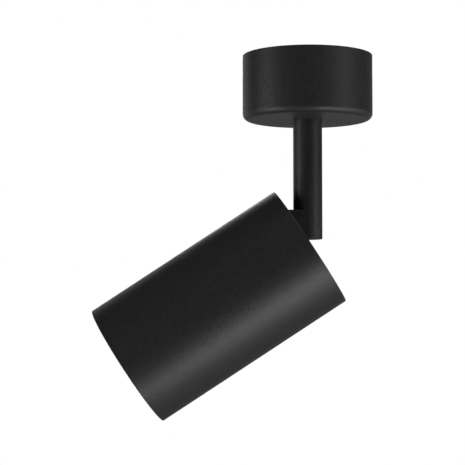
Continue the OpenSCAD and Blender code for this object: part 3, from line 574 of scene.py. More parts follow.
def rod(start, end, radius, segments=64, rounding=0.0):  # round bar between two points
    start, end = Vector(start), Vector(end)
    bm = bmesh.new()
    bmesh.ops.create_cone(bm, cap_ends=True, segments=segments, radius1=radius, radius2=radius,
                          depth=(end - start).length)
    if rounding:
        rims = [edge for edge in bm.edges if len(edge.link_faces) == 2 and edge.calc_face_angle() > 1]
        soften(bm, rims, rounding)
    place = (end - start).to_track_quat("Z", "Y").to_matrix().to_4x4()
    place.translation = (start + end) / 2
    bmesh.ops.transform(bm, matrix=place, verts=bm.verts)
    return pieceFrom(bm)


def post(x, y, low, high, radius, **more):  # upright rod
    return rod((x, y, low), (x, y, high), radius, **more)


def posts(places, low, high, radius, **more):
    return [post(x, y, low, high, radius, **more) for x, y in places]


def combine(piece, others, operation="DIFFERENCE"):  # joins, drills or trims a piece with other shapes
    for other in others:
        change = piece.modifiers.new("combine", "BOOLEAN")
        change.operation = operation
        change.solver = "EXACT"
        change.object = other
    done = piece.evaluated_get(bpy.context.evaluated_depsgraph_get())
    mesh = bpy.data.meshes.new_from_object(done)
    piece.modifiers.clear()
    piece.data = mesh
    for other in others:
        bpy.data.objects.remove(other)
    return piece


def merged(pieces):  # several separate bodies in one object
    bm = bmesh.new()
    for each in pieces:
        bm.from_mesh(each.data)
        bpy.data.objects.remove(each)
    return pieceFrom(bm)


def addPiece(piece, node, place=milli, smoothAngle=32, rides=True):  # a piece takes its name from its node
    if isinstance(piece, list):
        piece = merged(piece)
    mesh = piece.data
    first, *words = node.split("_")
    piece.name = mesh.name = first + "".join(word.title() for word in words)
    mesh.transform(place)
    if not mesh.materials:
        mesh.materials.append(finish[slotOf[node]])
    mesh.shade_smooth()
    mesh.set_sharp_from_angle(angle=math.radians(smoothAngle))
    piece.modifiers.new("evenShading", "WEIGHTED_NORMAL").keep_sharp = True
    if rides:
        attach(piece, frame["nodes"][node]["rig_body"])
    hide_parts(node)
    return piece


# Screws with a cross recess, all from one shape

crossSizes = {"driverWidth": 0.8, "driverShare": 0.75, "driverDepth": 0.9, "pitch": 0.5, "edge": 0.25}


def crossScrew(radius, length, headRadius, headHeight, at, flip=False):  # its head's seat lies at the place
    s = crossSizes
    edge, tip, rim = s["edge"], 0.35, headHeight * 0.62
    section = [(0, -length), (radius - tip, -length)] + threadSection(radius, tip - length, -0.25, s["pitch"])
    section += [(radius, 0), (headRadius - 0.1, 0), (headRadius, 0.1), (headRadius, rim - edge),
                (headRadius - edge * 0.35, rim), (headRadius * 0.8, rim + (headHeight - rim) * 0.62),
                (headRadius * 0.5, headHeight - 0.04), (0, headHeight)]
    screw = spun(section, 48)
    slots = []
    for turn in (0, math.pi / 2):
        half, width = headRadius * s["driverShare"], s["driverWidth"] / 2
        bm = bmesh.new()
        bmesh.ops.create_cube(bm, size=1)
        for v in bm.verts:  # narrower at the bottom, as a driver's tip
            bottom = v.co.z < 0
            v.co = (v.co.x * 2 * half * (0.5 if bottom else 1), v.co.y * 2 * width * (0.7 if bottom else 1),
                    headHeight - s["driverDepth"] if bottom else headHeight + 0.3)
        bmesh.ops.rotate(bm, verts=bm.verts, cent=(0, 0, 0), matrix=Matrix.Rotation(turn, 3, "Z"))
        slots.append(pieceFrom(bm))
    combine(screw, slots)
    place = Matrix.Translation(at)
    screw.data.transform(place @ Matrix.Rotation(math.pi, 4, "X") if flip else place)
    return screw


# Canopy

canopySizes = {"wall": 1.5, "fillet": 2.9, "lip": 0.25, "segments": 256, "grubHole": 2.2, "grubHeight": -8,
               "pegAt": 11.6, "pegRadius": 1.25, "pegHeight": 3.8, "grubSocket": 1.1, "grubPitch": 0.5}


def sideways(side, near, far, height, radius, **more):  # level rod that points away from the pan axis
    return rod((side * near, 0, height), (side * far, 0, height), radius, **more)


def makeCanopy():
    s = canopySizes
    floor, top = (corner.z for corner in cornersOf("canopy_shell"))
    hole, outer = (reach / mm for reach in spansOf("canopy_shell", Vector(), panAxis)[2:])
    wall, fillet, lip = s["wall"], s["fillet"], s["lip"]
    section = arc((outer - lip, top - lip), lip, 90, 0, 4)
    section += arc((outer - fillet, floor + fillet), fillet, 0, -90, 14)
    section += [(hole, floor), (hole, floor + wall)]
    section += arc((outer - fillet, floor + fillet), fillet - wall, -90, 0, 8)
    section += [(outer - wall, top)]
    shell = spun(section, s["segments"])
    combine(shell, [post(0, s["pegAt"], floor + wall / 2, floor + wall + s["pegHeight"], s["pegRadius"],
                         rounding=0.3)], "UNION")
    combine(shell, [sideways(side, outer - 4, outer + 2, s["grubHeight"], s["grubHole"])
                    for side in bothSides])
    addPiece(shell, "canopy_shell")


def makeGrubScrews():
    s = canopySizes
    low, high = cornersOf("canopy_grub_screws")
    height, radius = (low.z + high.z) / 2, (high.z - low.z) / 2
    inner = min(abs(v.co.x) for v in frame["nodes"]["canopy_grub_screws"].data.vertices) / mm
    length = high.x - inner
    section = [(0, 0), (radius - 0.4, 0)] + threadSection(radius, 0.4, length - 0.3, s["grubPitch"])
    section += [(radius - 0.3, length), (0, length)]
    screws = []
    for side in bothSides:
        place = Matrix.Translation((side * inner, 0, height)) @ Matrix.Rotation(side * math.pi / 2, 4, "Y")
        socket = sideways(side, high.x - 2, high.x + 1, height, s["grubSocket"], segments=6)
        screws.append(combine(spun(section, 48, place), [socket]))
    addPiece(screws, "canopy_grub_screws")


makeCanopy()
makeGrubScrews()
print("canopy made")


# Arm: round stem and the tongue that carries the tilt axis

armSizes = {"edge": 0.35, "channel": 3.25, "bore": 3.5, "boreFloor": 3.5, "nippleHole": 5, "nippleDepth": 10,
            "threadHole": 2, "threadDepth": 5, "exitShare": 0.667, "segments": 160}


def makeStemArm():
    s = armSizes
    low, high = cornersOf("stem_arm")
    radius, edge, axis = high.y, s["edge"], pivot / mm
    tongue = axis.z - low.z
    foot = arc((radius - edge, low.z + edge), edge, 0, -90, 5)
    stem = spun([(0, high.z), (radius, high.z)] + foot + [(0, low.z)], s["segments"])
    outline = [(0, low.z)] + arc((axis.x, axis.z), tongue, 270, 90, 48) + [(0, axis.z + tongue)]
    bm = slab([(x, -radius, z) for x, z in outline], (0, 2 * radius, 0))
    soften(bm, [e for e in bm.edges if span(e, 1) < 0.01 and min(v.co.x for v in e.verts) < -0.01], edge, 4)
    combine(stem, [pieceFrom(bm)], "UNION")
    exitAt = axis.x * s["exitShare"]
    bm = bmesh.new()
    bmesh.ops.create_uvsphere(bm, u_segments=48, v_segments=24, radius=s["channel"])
    bmesh.ops.translate(bm, vec=(exitAt, 0, axis.z), verts=bm.verts)
    holes = [pieceFrom(bm),
             post(0, 0, high.z - s["nippleDepth"], high.z + 1, s["nippleHole"]),
             post(0, 0, low.z + s["boreFloor"], high.z, s["bore"]),
             rod((exitAt, 0, axis.z), (0, 0, axis.z), s["channel"]),
             post(exitAt, 0, low.z - 1, axis.z, s["channel"])]
    holes += [rod((axis.x, side * (radius - s["threadDepth"]), axis.z), (axis.x, side * (radius + 1), axis.z),
                  s["threadHole"]) for side in bothSides]
    combine(stem, holes)
    addPiece(stem, "stem_arm")


makeStemArm()
print("arm made")


# Barrel

barrelSizes = {"wall": 2, "rimRadius": 0.25, "ribDepth": 7, "ribThickness": 4, "seatDepth": 1.5,
               "seatThickness": 1.5, "screwAt": 24.5, "screwHole": 1.5, "segments": 256}
screwPlaces = [onCircle(barrelSizes["screwAt"], math.radians(turn)) for turn in (60, 180, 300)]


def makeBarrel():
    s = barrelSizes
    length, outer = barrelSpan("barrel_tube")[1:]
    inner, rim = outer - s["wall"], s["rimRadius"]
    rib, seat = barrelSpan("carrier_plate")[1], barrelSpan("baffle_ring")[0]
    ribEnd, seatStart = rib + s["ribThickness"], seat - s["seatThickness"]
    section = arc((outer - rim, rim), rim, -90, 0, 5)
    section += arc((outer - rim, length - rim), rim, 0, 90, 5)
    section += arc((inner + rim, length - rim), rim, 90, 180, 5)
    for depth, start, end in ((s["seatDepth"], seatStart, seat), (s["ribDepth"], rib, ribEnd)):
        section += [(inner, end), (inner - depth, end), (inner - depth, start), (inner, start)]
    section += arc((inner + rim, rim), rim, 180, 270, 5)
    tube = spun(section, s["segments"])
    combine(tube, posts(screwPlaces, rib - 0.5, ribEnd + 0.5, s["screwHole"], segments=32))
    addPiece(tube, "barrel_tube", barrelMilli)


makeBarrel()
print("barrel made")


# Carrier: plate across the barrel, with two ears for the pivot

carrierSizes = {"edge": 0.2, "lugRadius": 6, "lugInner": 7.2, "lugThickness": 1.5, "pivotDepth": 11.5,
                "pivotHole": 2.55, "screwHole": 1.6, "bracketHoleAt": 17.3, "bracketHole": 1.5,
                "slotHalf": 3.5, "slotLength": 12, "screw": (1.5, 5, 2.75, 1.6)}
leadEnd = (13.5, 0, 29.11)  # where the flexible lead ends, in the barrel's own frame


def makeCarrier():
    s = carrierSizes
    front, outer = barrelSpan("carrier_plate")[1:]
    thick, edge, radius = s["lugThickness"], s["edge"], s["lugRadius"]
    plate, across = front - thick, (pivot - barrelBack).dot(barrelSide) / mm
    piece = spun(discSection(outer, plate, front, edge), 192)
    outline = [(across + radius, front - thick / 2)] + arc((across, s["pivotDepth"]), radius, 0, -180, 40)
    outline += [(across - radius, front - thick / 2)]
    lugs = []
    for side in bothSides:
        inner = min(side * s["lugInner"], side * (s["lugInner"] + thick))
        bm = slab([(x, inner, z) for x, z in outline], (0, thick, 0))
        soften(bm, [e for e in bm.edges if span(e, 1) < 0.01 and min(v.co.z for v in e.verts) < plate], edge)
        lugs.append(pieceFrom(bm))
    combine(piece, lugs, "UNION")
    reach = s["lugInner"] + thick + 1
    half, end = s["slotHalf"], leadEnd[0] + s["slotHalf"]
    ends = (end - s["slotLength"] + half, end - half)
    through = [(x, y, s["screwHole"]) for x, y in screwPlaces]
    through += [(0, side * s["bracketHoleAt"], s["bracketHole"]) for side in bothSides]
    through += [(x, 0, half) for x in ends]
    holes = [rod((across, -reach, s["pivotDepth"]), (across, reach, s["pivotDepth"]), s["pivotHole"])]
    holes += [post(x, y, plate - 1, front + 1, hole) for x, y, hole in through]
    holes.append(block((ends[0], -half, plate - 1), (ends[1], half, front + 1)))
    combine(piece, holes)
    addPiece(piece, "carrier_plate", barrelMilli)
    screws = [crossScrew(*s["screw"], (x, y, plate), flip=True) for x, y in screwPlaces]
    addPiece(screws, "carrier_screws", barrelMilli)


makeCarrier()


# Pivot: shoulder screws and disc springs that hold the tilt by friction

pivotSizes = {"thread": 2, "threadLength": 5, "pitch": 0.7, "shoulder": 2.5, "head": 4, "headHeight": 2.2,
              "socket": 1.45, "socketDepth": 1.4, "edge": 0.35, "washer": 5.5, "washerHeight": 0.5,
              "washerWall": 0.35}


def makePivot():
    s = pivotSizes
    stemRadius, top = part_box("stem_arm")[1].y / mm, cornersOf("pivot_screws")[1].y
    seat, end, edge = top - s["headHeight"], stemRadius - s["threadLength"], s["edge"]
    section = [(0, end), (s["thread"] - 0.3, end)]
    section += threadSection(s["thread"], end + 0.3, stemRadius - 0.2, s["pitch"])
    section += [(s["thread"], stemRadius), (s["shoulder"], stemRadius), (s["shoulder"], seat),
                (s["head"] - 0.15, seat), (s["head"], seat + 0.15)]
    section += arc((s["head"] - edge, top - edge), edge, 0, 90, 4) + [(0, top)]
    rise, hole = s["washerHeight"] - s["washerWall"], s["shoulder"] + 0.1
    spring = [(hole, stemRadius), (s["washer"], stemRadius + rise),
              (s["washer"], stemRadius + s["washerHeight"]), (hole, stemRadius + s["washerWall"])]
    screws, washers = [], []
    for side in bothSides:
        place = Matrix.Translation((pivot.x / mm, 0, pivot.z / mm))
        place @= Matrix.Rotation(-side * math.pi / 2, 4, "X")
        screw = spun(section, 72)
        combine(screw, [post(0, 0, top - s["socketDepth"], top + 1, s["socket"], segments=6)])
        screw.data.transform(place)
        screws.append(screw)
        washers.append(spun(spring, 96, place))
    addPiece(screws, "pivot_screws")
    addPiece(washers, "friction_washers")


makePivot()
print("pivot made")


# Baffle ring, with fine steps against glare

ringSizes = {"flange": 1.2, "lip": 1.2, "lipRound": 0.3, "aperture": 22.5, "step": 0.5, "mouthWall": 1.4,
             "grooves": 12, "grooveDepth": 0.32, "outer": 27.2, "mouthLip": 1.0}


def makeBaffleRing():
    s = ringSizes
    rear, front, lipRadius = barrelSpan("baffle_ring")
    mouth, foot, soft = lipRadius - s["mouthWall"], s["aperture"] + s["step"], s["lipRound"]
    seat, top = rear + s["flange"], front - s["mouthLip"]
    section = [(s["aperture"] + 0.15, rear), (s["outer"], rear), (s["outer"], front - s["lip"]),
               (lipRadius, front - s["lip"])]
    section += arc((lipRadius - soft, front - soft), soft, 0, 90, 4)
    section += arc((mouth + soft, front - soft), soft, 90, 165, 4)
    for i in range(s["grooves"]):  # from the mouth inwards
        a, b = 1 - i / s["grooves"], 1 - (i + 1) / s["grooves"]
        high, low = seat + (top - seat) * a, seat + (top - seat) * b
        wide, narrow = foot + (mouth - foot) * a, foot + (mouth - foot) * b
        section += [(wide - 0.02, high), (wide + s["grooveDepth"], (high + low) / 2), (narrow, low + 0.12)]
    section += [(foot, seat), (s["aperture"], seat), (s["aperture"], rear + 0.15)]
    addPiece(spun(section, 256), "baffle_ring", barrelMilli, smoothAngle=25)


makeBaffleRing()


# Lamp: shell, pins, board, chips and lens

lampSizes = {"base": 12, "baseLength": 7, "shoulder": 15, "shoulderAt": 11, "coneIn": 1, "coneDrop": 4,
             "rimHeight": 6, "rimWall": 1.5, "wall": 2.5, "floor": 20, "seatDrop": 2.5, "edge": 0.5,
             "vents": 24, "ventSteps": 6, "ventEdge": 0.5, "ventSlope": 0.15, "ventDepth": 0.9, "pinAt": 5,
             "neck": 1.6, "pinHead": 2.5, "pinRoot": 3, "pinLength": 6.5, "neckLength": 3}


def makeLampBody():
    s = lampSizes
    rear, front, outer = barrelSpan("lamp_body")
    rimAt, edge, lens, seat = front - s["rimHeight"], s["edge"], outer - s["rimWall"], front - s["seatDrop"]
    neckAt, coneAt, coneEnd = rear + s["baseLength"], rear + s["shoulderAt"], rimAt - s["coneDrop"]
    section = [(0, rear), (s["base"] - edge, rear)] + arc((s["base"] - edge, rear + edge), edge, -90, 0, 3)
    base, shoulder, cone = s["base"], s["shoulder"], outer - s["coneIn"]
    section += [(base, neckAt - 0.3), (base + 0.3, neckAt + 0.1), (shoulder - 0.2, coneAt - 0.3),
                (shoulder + 0.3, coneAt + 0.5), (cone - 0.15, coneEnd - 0.3), (cone + 0.05, coneEnd + 0.2),
                (outer - 0.1, rimAt - 0.2), (outer, rimAt + 0.2)]
    section += arc((outer - edge, front - edge), edge, 0, 90, 4)
    section += [(lens, front), (lens, seat), (lens - s["wall"], seat), (base, rear + s["floor"]),
                (0, rear + s["floor"])]
    bm = bmesh.new()
    steps = s["vents"] * s["ventSteps"]
    spinSection(bm, section, steps)
    vents = []
    for face in bm.faces:
        heights = [v.co.z for v in face.verts]
        centre = face.calc_center_median()
        onCone = abs(min(heights) - coneAt - 0.5) < 0.05 and abs(max(heights) - coneEnd + 0.3) < 0.05
        if onCone and face.normal.xy.dot(centre.xy) > 0:
            if (math.atan2(centre.y, centre.x) / fullTurn * steps) % s["ventSteps"] < s["ventSteps"] / 2:
                vents.append(face)
    bmesh.ops.inset_region(bm, faces=vents, thickness=s["ventEdge"], depth=0)
    bmesh.ops.inset_region(bm, faces=vents, thickness=s["ventSlope"], depth=-s["ventDepth"])
    shell = pieceFrom(bm)
    pinHoles = [(side * s["pinAt"], 0) for side in bothSides]
    combine(shell, posts(pinHoles, rear - 1, rear + s["pinRoot"], s["neck"]))
    addPiece(shell, "lamp_body", barrelMilli)


def makeLampPins():
    s = lampSizes
    rear = barrelSpan("lamp_body")[0]
    tip, under, root = rear - s["pinLength"], rear - s["neckLength"], rear + s["pinRoot"]
    head, neck = s["pinHead"], s["neck"]
    section = arc((head - 0.5, tip + 0.5), 0.5, -90, 0, 4)
    section += [(head, under - 0.3), (head - 0.3, under), (neck + 0.15, under), (neck, under + 0.15),
                (neck, root), (0, root), (0, tip)]
    pins = [spun(section, 64, Matrix.Translation((side * s["pinAt"], 0, 0))) for side in bothSides]
    addPiece(pins, "lamp_pins", barrelMilli)


lensSizes = {"edge": 0.25, "crown": 0.3, "rim": 1.6, "rimDrop": 0.1, "pitch": 2.6, "cushion": 0.36,
             "cells": 3}


def cushionSlab(rear, front, reach):  # a slab whose rear bulges in six-sided cushions
    s = lensSizes
    pitch, tall = s["pitch"], s["pitch"] * math.sqrt(3)
    step = tall / 3 / s["cells"]
    rows = math.ceil(reach / (step * math.sqrt(3) / 2)) + 1
    columns = math.ceil(reach * (1 + 1 / math.sqrt(3)) / step) + 1
    bm = bmesh.new()
    bmesh.ops.create_grid(bm, x_segments=2 * columns, y_segments=2 * rows, size=1)
    place = Matrix.Diagonal((columns * step, rows * step * math.sqrt(3) / 2, 1, 1))
    lean = Matrix.Identity(4)
    lean[0][1] = 1 / math.sqrt(3)
    bmesh.ops.transform(bm, matrix=lean @ place, verts=bm.verts)
    bmesh.ops.triangulate(bm, faces=bm.faces, quad_method="SHORT_EDGE")
    lid = vertsIn(bmesh.ops.extrude_face_region(bm, geom=bm.faces[:])["geom"])
    for vert in bm.verts:
        gaps = []
        for shift in (0, 0.5):  # the nearest cushion's centre, in two grids
            x, y = vert.co.x / tall - shift, vert.co.y / pitch - shift
            gaps.append(((x - round(x)) * tall) ** 2 + ((y - round(y)) * pitch) ** 2)
        vert.co.z = rear + s["cushion"] * min(gaps) / (pitch / 2) ** 2
    for vert in lid:
        vert.co.z = front
    bmesh.ops.recalc_face_normals(bm, faces=bm.faces)
    return pieceFrom(bm)


def makeLens():  # a crowned front, and cushions over the rear
    s = lensSizes
    rear, front, outer = barrelSpan("lamp_lens")
    edge, flat, rim = s["edge"], outer - s["rim"], front - s["crown"] - s["rimDrop"]
    section = [(flat * i / 12, front - s["crown"] * (i / 12) ** 2) for i in range(13)] + [(flat + 0.15, rim)]
    section += arc((outer - edge, rim - edge), edge, 90, 0, 3) + [(outer, rear), (0, rear)]
    lens = spun(section, 144)
    combine(lens, [cushionSlab(rear, front + 1, outer + 1)], "INTERSECT")
    addPiece(lens, "lamp_lens", barrelMilli)


boardSizes = {"edge": 0.15, "markAt": 8.6, "mark": 0.9, "markDepth": 0.4, "chips": 3, "chipWidth": 3.5,
              "chipAt": 5, "chipEdge": 0.3, "frame": 0.45, "well": 0.12, "wellWall": 0.1}


def makeBoard():
    s = boardSizes
    rear, front, outer = barrelSpan("led_board")
    edge = s["edge"]
    board = spun([(0, rear), (outer - edge, rear), (outer, rear + edge), (outer, front - edge),
                  (outer - edge, front), (0, front)], 128)
    marks = [onCircle(s["markAt"], math.radians(turn)) for turn in (60, 180, 300)]
    combine(board, posts(marks, front - s["markDepth"], front + 1, s["mark"], segments=32))
    addPiece(board, "led_board", barrelMilli)


def makeChips():
    s = boardSizes
    rear, front = barrelSpan("led_chips")[:2]
    chips = []
    for i in range(s["chips"]):
        bm = bmesh.new()
        bmesh.ops.create_cube(bm, size=1)
        bmesh.ops.scale(bm, vec=(s["chipWidth"], s["chipWidth"], front - rear), verts=bm.verts)
        soften(bm, [e for e in bm.edges if span(e, 2) > 0.1], s["chipEdge"])
        top = max(bm.faces, key=lambda face: face.calc_center_median().z)
        bmesh.ops.inset_region(bm, faces=[top], thickness=s["frame"], depth=0)
        bmesh.ops.inset_region(bm, faces=[top], thickness=s["wellWall"], depth=-s["well"])
        for face in bm.faces:
            face.material_index = 1
        top.material_index = 0
        place = Matrix.Rotation(fullTurn * i / s["chips"], 4, "Z")
        place @= Matrix.Translation((s["chipAt"], 0, (rear + front) / 2))
        bmesh.ops.transform(bm, matrix=place, verts=bm.verts)
        chips.append(pieceFrom(bm))
    piece = merged(chips)
    for key in ("phosphor", "led_board"):
        piece.data.materials.append(finish[key])
    addPiece(piece, "led_chips", barrelMilli)


makeLampBody()
makeLampPins()
makeLens()
makeBoard()
makeChips()
print("lamp made")


# Ceiling plate and what hangs on it

plateSizes = {"thickness": 1.5, "edge": 0.2, "earWidth": 8, "earDrop": 12, "earAt": 26.8075, "grubHole": 2,
              "cableHole": 6, "slotAt": 17, "slotHalf": 2.25, "slotLength": 12, "fixingAt": (4.5, 14.958),
              "fixingHole": 1.25, "earthAt": -16.5, "earthHole": 2, "earthDrop": 1.6,
              "earthScrew": (2, 2.9, 3.75, 2.4)}


def makeCeilingPlate():
    s = plateSizes
    high = cornersOf("ceiling_plate")[1]
    top, radius, thick, edge = high.z, high.y, s["thickness"], s["edge"]
    plate = spun(discSection(radius, top - thick, top, edge), 192)
    half, under, over = s["earWidth"] / 2, top - thick - 1, top + 1
    reach = s["slotLength"] / 2 - s["slotHalf"]
    ears, holes = [], []
    through = [(0, 0, s["cableHole"], 64), (0, s["earthAt"], s["earthHole"], 64)]
    for side in bothSides:
        near, far = sorted((side * (s["earAt"] - thick), side * s["earAt"]))
        ears.append(block((near, -half, top - s["earDrop"]), (far, half, top - thick / 2), rounding=edge))
        slot = [side * s["slotAt"] + end * reach for end in bothSides]
        through.append((side * s["fixingAt"][0], s["fixingAt"][1], s["fixingHole"], 32))
        through += [(x, 0, s["slotHalf"], 64) for x in slot]
        holes.append(sideways(side, s["earAt"] - 4, s["earAt"] + 1, canopySizes["grubHeight"], s["grubHole"]))
        holes.append(block((slot[0], -s["slotHalf"], under), (slot[1], s["slotHalf"], over)))
    combine(plate, ears, "UNION")
    holes += [post(x, y, under, over, hole, segments=segments) for x, y, hole, segments in through]
    combine(plate, holes)
    addPiece(plate, "ceiling_plate")


def makeEarthScrew():
    s = plateSizes
    seat = (0, s["earthAt"], -s["thickness"] - s["earthDrop"])
    addPiece([crossScrew(*s["earthScrew"], seat, flip=True)], "earth_screw")


terminalSizes = {"poles": (-9, 0, 9), "height": 9, "edge": 0.5, "tower": 2.9, "towerAt": 4, "towerDrop": 4,
                 "clampHole": 1.6, "clampDepth": 4.5, "bore": 2.5, "fixingHole": 1.35,
                 "fixingScrew": (1.25, 10.3, 2.3, 1.8)}


def makeTerminal():
    s = terminalSizes
    low, high = cornersOf("terminal_body")
    bottom, middle = high.z - s["height"], (low.y + high.y) / 2
    level = (high.z + bottom) / 2
    places = [(x, middle + side * s["towerAt"]) for x in s["poles"] for side in bothSides]
    body = block((low.x, low.y, bottom), high, rounding=s["edge"])
    combine(body, posts(places, bottom + s["towerDrop"], low.z, s["tower"], rounding=0.35), "UNION")
    holes = posts(places, low.z - 1, bottom + s["clampDepth"], s["clampHole"])
    holes += [rod((x, low.y - 1, level), (x, high.y + 1, level), s["bore"]) for x in s["poles"]]
    fixings = [(side * plateSizes["fixingAt"][0], middle) for side in bothSides]
    holes += posts(fixings, bottom - 1, high.z + 1, s["fixingHole"])
    addPiece(combine(body, holes), "terminal_body")
    screws = [crossScrew(*s["fixingScrew"], (x, y, bottom), flip=True) for x, y in fixings]
    addPiece(screws, "terminal_fixing_screws")


makeCeilingPlate()
makeTerminal()
makeEarthScrew()
print("ceiling plate made")


# Pan joint: threaded nipple, bushing, wave spring and nut

panSizes = {"nipple": 5, "bore": 3.75, "pitch": 0.75, "root": 0.35, "plain": (-31, -27), "keyHalf": 0.8,
            "keyDepth": 0.9, "play": 0.05, "bushWall": 0.75, "nutCorner": 8.083, "nutChamfer": 0.55,
            "waveWall": 0.3, "waves": 3}


def cornerTurn(piece):  # angle of one of a hexagon's corners about the pan axis
    far = max(piece.data.vertices, key=lambda v: v.co.xy.length)
    return math.atan2(far.co.y, far.co.x)


def makeNipple():
    s = panSizes
    low, high = cornersOf("stem_nipple")
    radius, root, (start, end) = s["nipple"], s["root"], s["plain"]
    section = [(s["bore"], low.z), (radius - root, low.z)]
    section += threadSection(radius, low.z + root, start, s["pitch"], root) + [(radius, start), (radius, end)]
    section += threadSection(radius, end + 0.2, high.z - root, s["pitch"], root)
    section += [(radius - root, high.z), (s["bore"], high.z)]
    nipple = spun(section)
    stop = cornersOf("pan_stop_washer")[0].z
    half = s["keyHalf"]
    combine(nipple, [block((-half, -radius - 1, stop), (half, s["keyDepth"] - radius, high.z + 1))])
    addPiece(nipple, "stem_nipple")


def makeNut():
    s = panSizes
    low, high = cornersOf("pan_nut")
    nut = post(0, 0, low.z, high.z, s["nutCorner"], segments=6)
    nut.data.transform(Matrix.Rotation(cornerTurn(frame["nodes"]["pan_nut"]) - cornerTurn(nut), 4, "Z"))
    face, corner, cut = s["nutCorner"] * math.cos(math.pi / 6) + 0.1, s["nutCorner"] + 0.2, s["nutChamfer"]
    combine(nut, [spun([(0, low.z), (face, low.z), (corner, low.z + cut), (corner, high.z - cut),
                        (face, high.z), (0, high.z)])], "INTERSECT")
    combine(nut, [post(0, 0, low.z - 1, high.z + 1, s["nipple"] + 0.01)])
    addPiece(nut, "pan_nut")


def makeBushing():
    s = panSizes
    low, high = cornersOf("stem_bushing")
    inner = s["nipple"] + s["play"]
    floor, outer, edge = cornersOf("canopy_shell")[0].z + canopySizes["wall"], inner + s["bushWall"], 0.25
    section = [(inner, low.z), (outer - 0.1, low.z), (outer, low.z + 0.1), (outer, floor),
               (high.x - 0.2, floor)]
    section += arc((high.x - edge, high.z - edge), edge, 0, 90, 3) + [(inner, high.z)]
    addPiece(spun(section, 128), "stem_bushing")


def makeWaveWasher():
    s = panSizes
    low, high = cornersOf("pan_wave_washer")
    inner = s["nipple"] + s["play"]
    bm = bmesh.new()
    spinSection(bm, [(inner, 0), (high.x, 0), (high.x, s["waveWall"]), (inner, s["waveWall"])], 144)
    rise = (high.z - low.z - s["waveWall"]) / 2
    for v in bm.verts:
        v.co.z += low.z + rise * (1 + math.sin(s["waves"] * math.atan2(v.co.y, v.co.x)))
    addPiece(pieceFrom(bm), "pan_wave_washer")


makeNipple()
makeNut()
makeBushing()
makeWaveWasher()
print("pan joint made")


# Lampholder and its screws

holderSizes = {"half": 8.75, "reach": 13.5, "edge": 0.6, "screwAt": 10.5, "screwHole": 1.6, "headHole": 2.9,
               "headDepth": 6, "socketDepth": 8, "frontWall": 2.5, "neck": 1.9, "head": 2.8, "entry": 2.9,
               "twist": 15, "waist": 0.96, "thread": 1.5, "screwHead": (2.7, 2.2), "bracketHead": (2.6, 2),
               "bracketSeat": {-1: 1, 1: 1.8}}  # one of its screws holds the earth terminal too


def makeHolder():
    s = holderSizes
    rear, front = barrelSpan("lampholder_body")[:2]
    straight = s["reach"] - s["half"]
    outline = arc((0, straight), s["half"], 0, 180, 48) + arc((0, -straight), s["half"], 180, 360, 48)
    bm = slab([(x, y, rear) for x, y in outline], (0, 0, front - rear))
    soften(bm, [e for e in bm.edges if span(e, 2) < 0.01], s["edge"], 4)
    body = pieceFrom(bm)
    seat, wall, over, pinAt = front - s["headDepth"], front - s["frontWall"], front + 1, lampSizes["pinAt"]
    half, twist = math.radians(s["twist"] / 2), math.radians(s["twist"])
    middle, tall = onCircle(pinAt, half)
    places = [(0, side * s["screwAt"]) for side in bothSides]
    holes = posts(places, rear - 1, over, s["screwHole"]) + posts(places, seat, over, s["headHole"])
    for turn in (0, math.pi):
        locked, entry = onCircle(pinAt, turn), onCircle(pinAt, turn - twist)
        for radius, low, high in ((s["head"], front - s["socketDepth"], wall), (s["neck"], wall - 1, over)):
            holes += posts([locked, entry], low, high, radius)
            waist = radius * s["waist"]
            holes.append(block((middle - waist, -tall, low), (middle + waist, tall, high),
                               place=Matrix.Rotation(turn - half, 4, "Z")))
        holes.append(post(*entry, wall - 1, over, s["entry"]))
    combine(body, holes)
    addPiece(body, "lampholder_body", barrelMilli)
    screws = [crossScrew(s["thread"], seat - rear + 1, *s["screwHead"], (x, y, seat)) for x, y in places]
    addPiece(screws, "lampholder_screws", barrelMilli)
    rib, at = barrelSpan("carrier_plate")[1], carrierSizes["bracketHoleAt"]
    screws = [crossScrew(s["thread"], rise + s["thread"], *s["bracketHead"], (0, side * at, rib + rise))
              for side, rise in s["bracketSeat"].items()]
    addPiece(screws, "bracket_screws", barrelMilli)


makeHolder()
print("lampholder made")


# Wires and sleeved leads, swept along the routes of their CAD solids

def bezier(a, b, c, d, steps=20):
    points = []
    for i in range(steps + 1):
        t = i / steps
        shares = ((1 - t) ** 3, 3 * (1 - t) ** 2 * t, 3 * (1 - t) * t * t, t ** 3)
        points.append(sum((Vector(p) * share for p, share in zip((a, b, c, d), shares)), Vector()))
    return points


